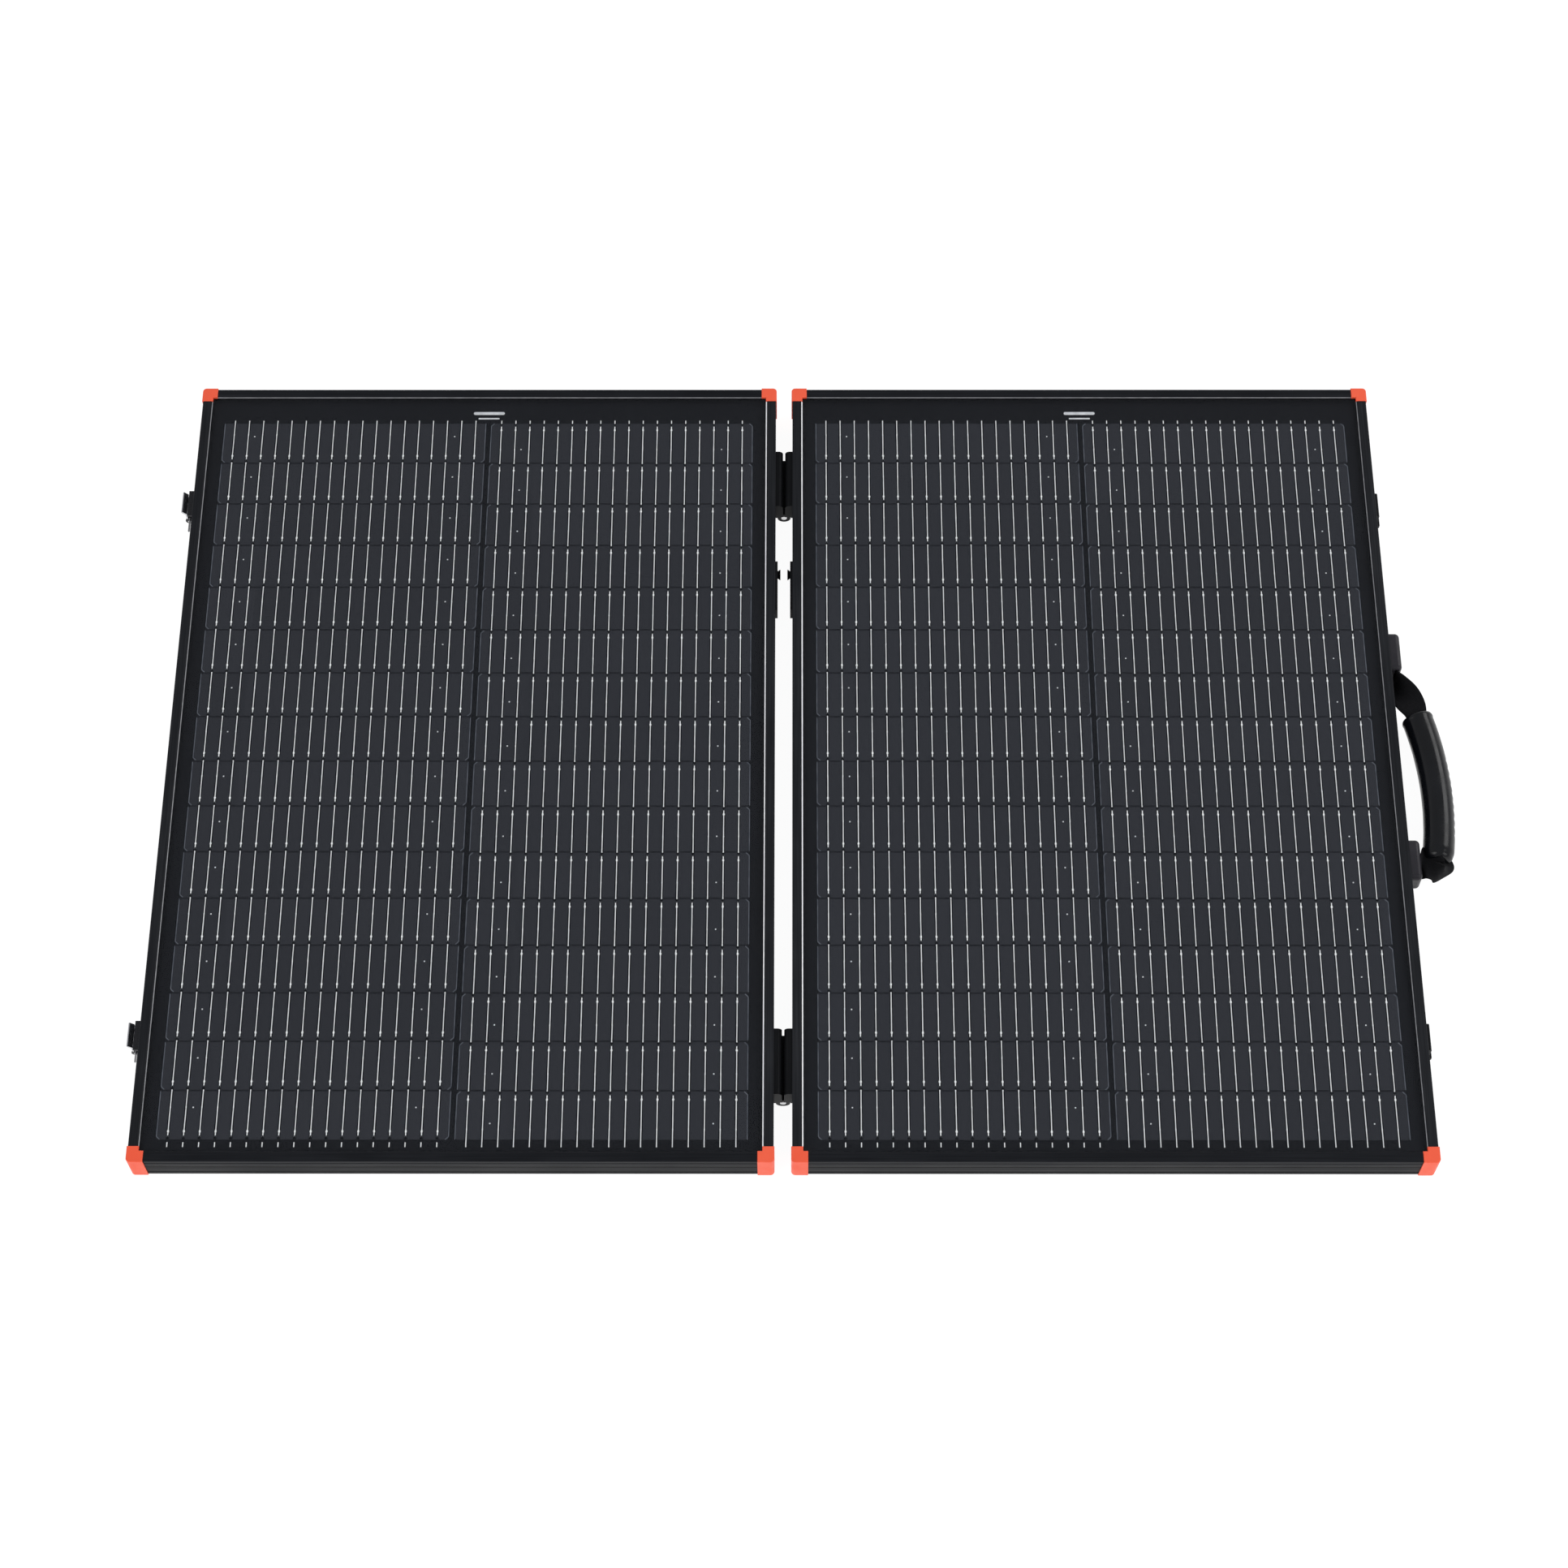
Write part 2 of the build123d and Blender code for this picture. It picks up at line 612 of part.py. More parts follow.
MOUNT_Y = 89.5
MOUNT_H = 12.7  # middle of the mounts and grip above the frame's underside
MOUNT = (33.0, 21.0, 8.7)  # along Y, height, outward
MOUNT_ROUND = 4.0
MOUNT_SLOT = (3.2, 6.4, 17.0)  # outward from, to, height
SLOT_Y = {1: (-16.5, 6.0), -1: (-12.0, 6.0)}  # far and near mount's slots, from its middle
WINDOW_Y = (-9.5, 1.0)  # opening over the near mount's slot
MOUNT_SCREW = 10.8  # from a mount's middle
SCREW_SINK = 2.4
WEB = (16.0, 2.0)
GRIP_R = 12.2
GRIP_PATH = [(35.5, 17.8), (-30.0, 27.2), (-87.0, 22.8)]  # along Y, outward of the wall
STRAP_FAR = [(94.0, 4.8), (72.0, 4.8), (56.0, 10.5), (36.0, 17.2)]
STRAP_NEAR = [(-87.5, 22.7), (-99.5, 20.6), (-101.5, 13.5), (-91.8, 6.2)]


def handle_point(place):
    """A point beside the right outer wall, given along Y and outward."""
    return Vector(outer_wall(RIGHT) + place[1], place[0], BASE + MOUNT_H)


def mount_body(origin):
    """The rounded block of a handle mount."""
    with BuildPart() as body:
        with BuildSketch(Plane(origin=origin, x_dir=Y, z_dir=X)):
            RectangleRounded(MOUNT[0], MOUNT[1], MOUNT_ROUND)
        extrude(amount=MOUNT[2])
        fillet(body.faces().sort_by(Axis.X)[-1].edges(), MOUNT_ROUND - 0.5)
    return body.part


def handle_mounts():
    """Two rounded blocks that take the webbing, at the end or from outside, each held by a sunk screw."""
    wall = outer_wall(RIGHT)
    middles = {end: Vector(wall, end * MOUNT_Y, BASE + MOUNT_H) for end in SLOT_Y}
    bodies = [mount_body(origin) for origin in middles.values()]
    half = MOUNT_SLOT[2] / 2
    with BuildPart() as mounts:
        add(bodies)
        for end, origin in middles.items():
            start, stop = SLOT_Y[end]
            low = origin + Vector(MOUNT_SLOT[0], start, -half)
            high = origin + Vector(MOUNT_SLOT[1], stop, half)
            block(low, high, Mode.SUBTRACT)
            if end < 0:
                low = origin + Vector(MOUNT_SLOT[0], WINDOW_Y[0], -half)
                high = origin + Vector(MOUNT[2], WINDOW_Y[1], half)
                block(low, high, Mode.SUBTRACT)
            seat = origin + Y * MOUNT_SCREW
            bar(seat, X, 1.6, MOUNT[2], Mode.SUBTRACT)
            bar(seat + X * (MOUNT[2] - SCREW_SINK), X, 3.0, SCREW_SINK, Mode.SUBTRACT)
    write(mounts, "handle_mounts")
    with BuildPart() as screws:
        seat = MOUNT[2] - SCREW_SINK
        head = [(0, 0), (0, 1.6), (seat, 1.6), (seat, 2.8), (seat + 1.2, 2.8)]
        head += [(seat + 1.7, 2.0), (seat + 1.7, 0)]
        for origin in middles.values():
            turned(head, origin + Y * MOUNT_SCREW, X)
    write(screws, "handle_screws")


def handle_grip():
    """The moulded grip, a bowed round bar."""
    with BuildPart() as grip:
        with BuildLine() as path:
            ThreePointArc(*[handle_point(place) for place in GRIP_PATH])
        with BuildSketch(Plane(origin=path.line @ 0, z_dir=path.line % 0)):
            Circle(GRIP_R)
        sweep()
        fillet(grip.edges().filter_by(GeomType.CIRCLE), 3.5)
    write(grip, "handle_grip")


def handle_strap():
    """The two visible runs of the webbing, from each mount to the grip's ends."""
    with BuildPart() as strap:
        for places, radius in ((STRAP_FAR, 14.0), (STRAP_NEAR, 3.0)):
            with BuildLine() as path:
                FilletPolyline(*[handle_point(place) for place in places], radius=radius)
            with BuildSketch(Plane(origin=path.line @ 0, x_dir=Z, z_dir=path.line % 0)):
                Rectangle(*WEB)
            sweep()
    write(strap, "handle_strap")


# ---------------------------------------------------------------- charge controller

CASE = (124.0, 76.0)
CASE_Y = -10.0
CASE_LOW = 5.0
FACE = 2.2
WINDOW = (52.0, 24.0, 1.6)
WINDOW_X = -20.0
BUTTON_X = 34.0
BUTTON_STEP = 17.0
BUTTON_R = 3.8
BUTTON_GAP = 0.3
BUTTONS = 3
TERMINALS = (78.0, 11.0, 10.0)
TERMINAL_WAYS = 6


def controller():
    """The charge controller behind the left panel: case, face, display window, board, terminals."""
    x = middle(LEFT)
    low = BASE + CASE_LOW
    with BuildPart() as case:
        with BuildSketch(Plane.XY.offset(low)):
            with Locations((x, CASE_Y)):
                RectangleRounded(*CASE, 6)
        extrude(amount=SEAT - CASE_LOW)
        with BuildSketch(Plane.XY.offset(low)):
            with Locations((x, CASE_Y)):
                RectangleRounded(CASE[0] - 4, CASE[1] - 4, 4)
        extrude(amount=SEAT - CASE_LOW - 2, mode=Mode.SUBTRACT)
    write(case, "controller_case")
    with BuildPart() as face:
        with BuildSketch(Plane.XY.offset(low - FACE)):
            with Locations((x, CASE_Y)):
                RectangleRounded(*CASE, 6)
            with Locations((x + WINDOW_X, CASE_Y)):
                Rectangle(WINDOW[0], WINDOW[1], mode=Mode.SUBTRACT)
            for n in range(BUTTONS):
                with Locations((x + BUTTON_X, CASE_Y + (n - 1) * BUTTON_STEP)):
                    Circle(BUTTON_R + BUTTON_GAP, mode=Mode.SUBTRACT)
        extrude(amount=FACE)
    write(face, "controller_face")
    with BuildPart() as window:
        with BuildSketch(Plane.XY.offset(low - WINDOW[2])):
            with Locations((x + WINDOW_X, CASE_Y)):
                Rectangle(WINDOW[0], WINDOW[1])
        extrude(amount=WINDOW[2])
    write(window, "controller_window")
    with BuildPart() as board:
        with BuildSketch(Plane.XY.offset(BASE + SEAT - 6.0)):
            with Locations((x, CASE_Y)):
                RectangleRounded(CASE[0] - 5, CASE[1] - 5, 4)
        extrude(amount=1.6)
    write(board, "controller_board")
    for n in range(BUTTONS):
        centre_y = CASE_Y + (n - 1) * BUTTON_STEP
        with BuildPart() as button:
            profile = [(0, 0), (0, BUTTON_R - 0.5), (0.5, BUTTON_R), (3.6, BUTTON_R)]
            profile += [(3.6, BUTTON_R + 1.4), (4.6, BUTTON_R + 1.4), (4.6, 0)]
            turned(profile, Vector(x + BUTTON_X, centre_y, low - FACE - 1.0), Z)
        write(button, f"controller_button_{n + 1}")
    with BuildPart() as terminals:
        edge = CASE_Y - CASE[1] / 2
        roof = BASE + SEAT
        block(
            [x - TERMINALS[0] / 2, edge - TERMINALS[1], roof - TERMINALS[2]],
            [x + TERMINALS[0] / 2, edge, roof],
        )
        pitch = TERMINALS[0] / TERMINAL_WAYS
        for n in range(TERMINAL_WAYS):
            way = x + (n - (TERMINAL_WAYS - 1) / 2) * pitch
            mouth = Vector(way, edge - TERMINALS[1], roof - 4.5)
            bar(mouth, Y, 2.6, TERMINALS[1] - 3, Mode.SUBTRACT)
            screw = Vector(way, edge - TERMINALS[1] / 2, roof - TERMINALS[2])
            bar(screw, Z, 2.0, 2.0, Mode.SUBTRACT)
    write(terminals, "controller_terminals")


# ---------------------------------------------------------------- the whole kit

for panel, hand in SIDES.items():
    frame(panel, hand)
    corner_caps(panel, hand)
    laminate(panel, hand)
    junction_box(panel, hand)
    stand(panel, hand)
hinges()
latch_bases()
for place, latch_y in LATCH_YS.items():
    latch_lever(f"latch_lever_{place}", latch_y)
    latch_bail(f"latch_bail_{place}", latch_y)
keepers()
handle_mounts()
handle_grip()
handle_strap()
controller()
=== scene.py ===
"""Looks of the folding solar kit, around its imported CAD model.

Metres, in the CAD's frame: +X to the right panel, +Y to the far edge, +Z up out of the glass.
"""

import json
import math
import random

import bpy
from mathutils import Matrix, Vector


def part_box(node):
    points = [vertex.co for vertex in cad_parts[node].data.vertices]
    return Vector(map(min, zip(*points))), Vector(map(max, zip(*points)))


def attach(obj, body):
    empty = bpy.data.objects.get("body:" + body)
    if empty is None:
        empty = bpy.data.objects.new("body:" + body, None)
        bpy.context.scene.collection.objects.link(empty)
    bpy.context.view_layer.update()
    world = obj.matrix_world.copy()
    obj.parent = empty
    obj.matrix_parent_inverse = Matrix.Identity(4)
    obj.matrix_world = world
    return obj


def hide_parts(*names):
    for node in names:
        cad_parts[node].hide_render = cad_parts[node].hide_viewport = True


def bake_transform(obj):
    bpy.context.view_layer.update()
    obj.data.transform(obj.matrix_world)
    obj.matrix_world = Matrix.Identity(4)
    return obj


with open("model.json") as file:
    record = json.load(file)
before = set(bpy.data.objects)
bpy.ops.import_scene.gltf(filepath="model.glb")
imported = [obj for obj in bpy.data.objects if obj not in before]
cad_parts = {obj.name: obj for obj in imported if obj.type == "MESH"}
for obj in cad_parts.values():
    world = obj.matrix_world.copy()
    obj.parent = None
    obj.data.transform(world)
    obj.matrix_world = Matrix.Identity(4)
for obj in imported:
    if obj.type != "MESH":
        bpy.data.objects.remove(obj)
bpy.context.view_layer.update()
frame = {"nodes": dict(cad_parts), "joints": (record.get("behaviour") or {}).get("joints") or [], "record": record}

NODES = frame["nodes"]
JOINTS = {joint["name"]: joint for joint in frame["joints"]}
FOLD_X = JOINTS["fold"]["pos_m"][0]
PANELS = ("left", "right")

CELL_W, CELL_L = 0.210, 0.0371
ROWS = 16
PITCH_Y = 0.0385  # from row to row
ROW_GAP = PITCH_Y - CELL_L


# ---------------------------------------------------------------- materials


class Finish:
    """A material of one Principled shader, with its textures in the frame's own coordinates."""

    def __init__(self, name, uv=False):
        self.material = bpy.data.materials.new(name)
        self.material.use_nodes = True
        self.tree = self.material.node_tree
        self.tree.nodes.clear()
        self.out = self.tree.nodes.new("ShaderNodeOutputMaterial")
        self.shader = self.tree.nodes.new("ShaderNodeBsdfPrincipled")
        self.tree.links.new(self.shader.outputs[0], self.out.inputs[0])
        coordinates = self.tree.nodes.new("ShaderNodeTexCoord")
        self.place = coordinates.outputs["UV" if uv else "Object"]

    def set(self, **values):
        """Plain values, set on the shader's own sockets."""
        for name, value in values.items():
            self.shader.inputs[name.replace("_", " ")].default_value = value
        return self

    def link(self, output, node_input):
        self.tree.links.new(output, node_input)

    def noise(self, scale, detail=3.0, stretch=(1, 1, 1)):
        """Noise with that many waves in a metre, stretched along axes."""
        mapping = self.tree.nodes.new("ShaderNodeMapping")
        mapping.inputs["Scale"].default_value = [scale / s for s in stretch]
        texture = self.tree.nodes.new("ShaderNodeTexNoise")
        texture.inputs["Scale"].default_value = 1.0
        texture.inputs["Detail"].default_value = detail
        texture.inputs["Roughness"].default_value = 0.55
        self.link(self.place, mapping.inputs["Vector"])
        self.link(mapping.outputs[0], texture.inputs["Vector"])
        return texture.outputs["Fac"]

    def remap(self, source, low, high, start=0.35, stop=0.65):
        """A value from low to high as the source goes from start to stop."""
        node = self.tree.nodes.new("ShaderNodeMapRange")
        for name, value in (("From Min", start), ("From Max", stop), ("To Min", low), ("To Max", high)):
            node.inputs[name].default_value = value
        self.link(source, node.inputs["Value"])
        return node.outputs[0]

    def maths(self, kind, first, second):
        """One Math node, on outputs or plain numbers."""
        node = self.tree.nodes.new("ShaderNodeMath")
        node.operation = kind
        for value, socket in ((first, node.inputs[0]), (second, node.inputs[1])):
            if isinstance(value, (int, float)):
                socket.default_value = value
            else:
                self.link(value, socket)
        return node.outputs[0]

    def mix(self, factor, first, second):
        """A colour between two, each a colour or an output."""
        node = self.tree.nodes.new("ShaderNodeMix")
        node.data_type = "RGBA"
        self.link(factor, node.inputs["Factor"])
        for value, socket in ((first, node.inputs["A"]), (second, node.inputs["B"])):
            colour = next(s for s in node.inputs if s.identifier == socket_name(socket))
            if isinstance(value, tuple):
                colour.default_value = (*value, 1.0)
            else:
                self.link(value, colour)
        return next(s for s in node.outputs if s.identifier == "Result_Color")

    def colour(self, output):
        self.link(output, self.shader.inputs["Base Color"])
        return self

    def roughness(self, output):
        self.link(output, self.shader.inputs["Roughness"])
        return self

    def relief(self, height, depth):
        """Fine relief of that depth in metres, over any relief already there."""
        node = self.tree.nodes.new("ShaderNodeBump")
        node.inputs["Strength"].default_value = 1.0
        node.inputs["Distance"].default_value = depth
        self.link(height, node.inputs["Height"])
        before = self.shader.inputs["Normal"].links
        if before:
            self.link(before[0].from_socket, node.inputs["Normal"])
        self.link(node.outputs[0], self.shader.inputs["Normal"])
        return self


def socket_name(socket):
    """The colour socket that shares a Mix node's A or B."""
    return f"{socket.name}_Color"


def moulded(name, dark, light, rough, grain=2600.0, depth=0.00003, sheen=0.0, ior=1.45):
    """Moulded plastic or rubber: fine tool texture, faint colour drift, rubbed patches."""
    finish = Finish(name).set(Metallic=0.0, IOR=ior, Sheen_Weight=sheen)
    drift = finish.noise(26.0, 2.0)
    finish.colour(finish.mix(finish.remap(drift, 0.0, 1.0), dark, light))
    finish.roughness(finish.remap(finish.noise(90.0, 4.0), rough - 0.07, rough + 0.08))
    finish.relief(finish.noise(grain, 2.0), depth)
    finish.relief(finish.noise(210.0, 2.0), depth * 2.5)
    return finish


def metal(name, dark, light, rough, metallic, along=(1, 1, 1), depth=0.000012, ior=1.5):
    """Metal with lines along its drawing direction, and fine scratches."""
    finish = Finish(name).set(Metallic=metallic, IOR=ior)
    lines = finish.noise(900.0, 4.0, along)
    drift = finish.noise(14.0, 3.0)
    tone = finish.maths("MULTIPLY", finish.remap(drift, 0.4, 1.0), finish.remap(lines, 0.3, 1.0))
    finish.colour(finish.mix(tone, dark, light))
    rubbed = finish.maths("ADD", finish.remap(lines, -0.05, 0.05), finish.remap(drift, -0.04, 0.05))
    finish.roughness(finish.maths("ADD", rubbed, rough))
    finish.relief(lines, depth)
    return finish


ALONG_X = (60, 1, 1)
ALONG_Y = (1, 60, 1)
# Share of the wall's height, and how far out of its grooves the wall stands there, 0 to 1; the same value darkens
# the grooves with painted shade.
RAIL_PROFILE = (
    (0.07, 0.1), (0.09, 1.0), (0.15, 1.0), (0.17, 0.15), (0.28, 0.15), (0.31, 0.8),
    (0.52, 0.8), (0.54, 0.1), (0.61, 0.1), (0.64, 1.0), (0.93, 1.0),
)
# Painted shade: the near black that the grooves are darkened towards.
GROOVE_PAINTED_SHADE = (0.0025, 0.0027, 0.0032)
GROOVE_DEPTH = 0.00035


def rail(name, dark, light, along):
    """Black anodised rail, with the grooves of its extrusion along the wall, darkened with painted shade."""
    finish = metal(name, dark, light, 0.42, 0.05, along, 0.000012, 1.13)
    split = finish.tree.nodes.new("ShaderNodeSeparateXYZ")
    finish.link(finish.place, split.inputs[0])
    low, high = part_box("left_frame_near")
    ramp = finish.tree.nodes.new("ShaderNodeValToRGB")
    elements = ramp.color_ramp.elements
    elements[0].position, elements[0].color = 0.0, (0.1, 0.1, 0.1, 1.0)
    elements[1].position, elements[1].color = 1.0, (1.0, 1.0, 1.0, 1.0)
    for place, grey in RAIL_PROFILE:
        elements.new(place).color = (grey, grey, grey, 1.0)
    finish.link(finish.remap(split.outputs["Z"], 0.0, 1.0, low.z, high.z), ramp.inputs["Fac"])
    plain = finish.shader.inputs["Base Color"].links[0].from_socket
    # Painted shade in the grooves: the wall's colour darkened towards near black.
    finish.colour(finish.mix(ramp.outputs["Color"], GROOVE_PAINTED_SHADE, plain))
    finish.relief(ramp.outputs["Color"], GROOVE_DEPTH)
    return finish


# Painted sheen: the Y rails are a lighter copy of the X rails' anodising.
frame_y_painted_sheen = rail("anodised_rail_y_painted_sheen", (0.011, 0.012, 0.014), (0.026, 0.0275, 0.031), ALONG_Y)
frame_x = rail("anodised_rail_x", (0.0085, 0.0093, 0.0112), (0.0175, 0.019, 0.0225), ALONG_X)
hinge = metal("anodised_hinge", (0.007, 0.0075, 0.0085), (0.017, 0.018, 0.02), 0.36, 0.05, ALONG_Y, ior=1.15)
stand_y = metal("stand_bar", (0.016, 0.017, 0.018), (0.04, 0.041, 0.044), 0.4, 0.5, ALONG_Y)
stand_x = metal("stand_tube", (0.016, 0.017, 0.018), (0.04, 0.041, 0.044), 0.38, 0.5, ALONG_X)
steel = metal("screw_steel", (0.30, 0.30, 0.31), (0.55, 0.55, 0.57), 0.3, 1.0, (1, 1, 1), 0.00001)
chrome = metal("bright_plating", (0.52, 0.52, 0.54), (0.72, 0.72, 0.74), 0.15, 1.0, (1, 4, 1), 0.000006)
pin = metal("ground_pin", (0.55, 0.55, 0.56), (0.75, 0.75, 0.76), 0.22, 1.0, ALONG_Y, 0.000008)
dark_steel = metal("dark_steel", (0.06, 0.06, 0.065), (0.16, 0.16, 0.17), 0.3, 0.7)
blackened = metal("blackened_steel", (0.012, 0.012, 0.014), (0.035, 0.036, 0.04), 0.33, 0.6)
cap = moulded("corner_cap", (0.95, 0.118, 0.055), (1.0, 0.145, 0.072), 0.42, 1900.0, 0.00002, ior=1.28)
box = moulded("box_plastic", (0.012, 0.012, 0.013), (0.022, 0.022, 0.024), 0.52)
rubber = moulded("foot_rubber", (0.010, 0.010, 0.010), (0.02, 0.02, 0.02), 0.66, 1500.0, 0.00005, 0.2)
nylon = moulded("mount_nylon", (0.014, 0.013, 0.0175), (0.027, 0.0255, 0.032), 0.4, 2100.0, 0.00004, ior=1.35)
case = moulded("controller_case", (0.020, 0.021, 0.024), (0.034, 0.036, 0.04), 0.5)
key = moulded("controller_key", (0.36, 0.36, 0.37), (0.46, 0.46, 0.47), 0.45, 3000.0, 0.00002)
lens = moulded("lamp_lens", (0.05, 0.22, 0.07), (0.08, 0.3, 0.1), 0.16, 900.0, 0.000003, ior=1.5)
elastomer = moulded(
    "grip_elastomer", (0.0025, 0.003, 0.004), (0.005, 0.0058, 0.0076), 0.22, 1400.0, 0.000004, ior=1.36
)


COLUMN_PITCH = 0.2146
FINGER_PITCH = 0.0013  # of the fine printed lines


def cell_finish():
    """Dark silicon: each cell its own shade, with fine printed fingers across it."""
    finish = Finish("silicon").set(Metallic=0.0, IOR=1.12, Roughness=0.42)
    split = finish.tree.nodes.new("ShaderNodeSeparateXYZ")
    finish.link(finish.place, split.inputs[0])
    far_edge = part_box("left_cells")[1].y + ROW_GAP / 2
    column = finish.maths("FLOOR", finish.maths("DIVIDE", split.outputs["X"], COLUMN_PITCH), 0.0)
    row_place = finish.maths("SUBTRACT", far_edge, split.outputs["Y"])
    row = finish.maths("FLOOR", finish.maths("DIVIDE", row_place, PITCH_Y), 0.0)
    both = finish.tree.nodes.new("ShaderNodeCombineXYZ")
    finish.link(column, both.inputs[0])
    finish.link(row, both.inputs[1])
    shade = finish.tree.nodes.new("ShaderNodeTexWhiteNoise")
    finish.link(both.outputs[0], shade.inputs["Vector"])
    base = finish.mix(shade.outputs["Value"], (0.0262, 0.0279, 0.0338), (0.0318, 0.0337, 0.0407))
    turns = finish.maths("MULTIPLY", split.outputs["Y"], 2 * math.pi / FINGER_PITCH)
    wave = finish.maths("SINE", turns, 0.0)
    finger = finish.remap(wave, 0.0, 0.35, 0.72, 0.98)
    lined = finish.mix(finger, base, (0.0495, 0.0522, 0.0602))
    cloud = finish.remap(finish.noise(22.0, 4.0), 0.0, 0.5, 0.3, 0.75)
    finish.colour(finish.mix(cloud, lined, (0.0307, 0.0323, 0.0392)))
    finish.relief(finish.noise(5200.0, 2.0), 0.000001)
    return finish


def sheet_finish():
    """Black backing sheet: matt film with a faint cloud of tone."""
    finish = Finish("backing_film").set(IOR=1.12)
    cloud = finish.remap(finish.noise(12.0, 3.0), 0.0, 1.0)
    finish.colour(finish.mix(cloud, (0.0078, 0.0086, 0.011), (0.0092, 0.0102, 0.013)))
    finish.roughness(finish.remap(finish.noise(300.0, 2.0), 0.42, 0.56))
    finish.relief(finish.noise(900.0, 2.0), 0.000003)
    return finish


def glass_finish():
    """Low-iron glass with a faint prismatic top: clear, with one soft reflection."""
    finish = Finish("solar_glass")
    tree = finish.tree
    clear = tree.nodes.new("ShaderNodeBsdfTransparent")
    clear.inputs["Color"].default_value = (0.985, 0.99, 0.992, 1.0)
    gloss = tree.nodes.new("ShaderNodeBsdfGlossy")
    gloss.inputs["Color"].default_value = (0.92, 0.95, 1.0, 1.0)
    gloss.inputs["Roughness"].default_value = 0.16
    ripple = tree.nodes.new("ShaderNodeBump")
    ripple.inputs["Strength"].default_value = 0.5
    ripple.inputs["Distance"].default_value = 0.000004
    finish.link(finish.noise(700.0, 2.0), ripple.inputs["Height"])
    finish.link(ripple.outputs[0], gloss.inputs["Normal"])
    fresnel = tree.nodes.new("ShaderNodeFresnel")
    fresnel.inputs["IOR"].default_value = 1.27
    side = tree.nodes.new("ShaderNodeNewGeometry")
    front = finish.maths("SUBTRACT", 1.0, side.outputs["Backfacing"])
    amount = finish.maths("MULTIPLY", fresnel.outputs[0], front)
    blend = tree.nodes.new("ShaderNodeMixShader")
    finish.link(amount, blend.inputs[0])
    finish.link(clear.outputs[0], blend.inputs[1])
    finish.link(gloss.outputs[0], blend.inputs[2])
    finish.link(blend.outputs[0], finish.out.inputs[0])
    tree.nodes.remove(finish.shader)
    return finish


def tinned(name, dark, light, rough, ior=1.5):
    """Tinned wire, solder and printed marks, the rails' cut edges with their painted highlight, and the strips of
    painted shade beside the wires.
    """
    finish = Finish(name).set(Metallic=0.0, IOR=ior)
    finish.colour(finish.mix(finish.remap(finish.noise(160.0, 3.0), 0.0, 1.0), dark, light))
    finish.roughness(finish.remap(finish.noise(500.0, 2.0), rough - 0.08, rough + 0.1))
    finish.relief(finish.noise(2500.0, 2.0), 0.00002)
    return finish


YARN_PITCH, PICK_PITCH = 0.0011, 0.0009  # across the webbing and along it


def webbing_finish():
    """Black polyester webbing: yarns both ways, and a soft sheen."""
    finish = Finish("webbing_weave", uv=True).set(Sheen_Weight=0.02, Sheen_Roughness=0.45, IOR=1.2)
    split = finish.tree.nodes.new("ShaderNodeSeparateXYZ")
    finish.link(finish.place, split.inputs[0])
    waves = []
    for axis, pitch in (("X", YARN_PITCH), ("Y", PICK_PITCH)):
        turns = finish.maths("MULTIPLY", split.outputs[axis], 2 * math.pi / pitch)
        waves.append(finish.maths("SINE", turns, 0.0))
    weave = finish.maths("MULTIPLY", *waves)
    tone = finish.remap(weave, 0.0, 1.0, -0.8, 0.8)
    finish.colour(finish.mix(tone, (0.003, 0.003, 0.0038), (0.0115, 0.0118, 0.0135)))
    finish.roughness(finish.remap(finish.noise(400.0, 2.0), 0.62, 0.82))
    finish.relief(weave, 0.00012)
    return finish


def board_finish():
    """Green circuit board with tracks."""
    finish = Finish("circuit_board").set(IOR=1.5, Roughness=0.35)
    tracks = finish.remap(finish.noise(350.0, 0.0, (6, 1, 1)), 0.0, 1.0, 0.48, 0.52)
    finish.colour(finish.mix(tracks, (0.012, 0.07, 0.03), (0.03, 0.16, 0.07)))
    finish.relief(tracks, 0.00003)
    return finish


def window_finish():
    """The unlit display behind its clear window."""
    finish = Finish("display").set(IOR=1.5, Coat_Weight=0.6, Coat_Roughness=0.06)
    rows = finish.noise(1500.0, 0.0)
    finish.colour(finish.mix(finish.remap(rows, 0.0, 1.0), (0.075, 0.095, 0.075), (0.10, 0.125, 0.10)))
    finish.roughness(finish.remap(finish.noise(60.0, 2.0), 0.14, 0.24))
    return finish


cells = cell_finish()
film = sheet_finish()
glass = glass_finish()
wire = tinned("tinned_wire", (0.92, 0.92, 0.91), (1.0, 1.0, 0.99), 0.36)
fork_tip = tinned("fork_tip", (0.10, 0.105, 0.12), (0.2, 0.205, 0.22), 0.5)
# Painted shade: the near black strips beside each wire.
wire_shade = tinned("painted_wire_shade", (0.0035, 0.004, 0.0055), (0.0065, 0.0072, 0.009), 0.5, 1.12)
solder = tinned("printed_silver", (0.62, 0.63, 0.65), (0.8, 0.81, 0.83), 0.4)
# Painted highlight: the near white of the inner rails' cut edges.
edge_highlight_strong = tinned("cut_edge_painted_highlight_strong", (0.88, 0.88, 0.9), (1.0, 1.0, 1.0), 0.3)
gap_film = tinned("gap_film", (0.0125, 0.0135, 0.017), (0.0165, 0.0175, 0.022), 0.5, 1.12)
# Painted highlight: the grey of the outer and far rails' cut edges.
edge_highlight_faint = tinned("cut_edge_painted_highlight_faint", (0.2, 0.205, 0.215), (0.3, 0.305, 0.32), 0.34)
cell_edge = tinned("cell_edge", (0.075, 0.085, 0.105), (0.14, 0.15, 0.175), 0.45, 1.2)
webbing = webbing_finish()
board = board_finish()
window = window_finish()

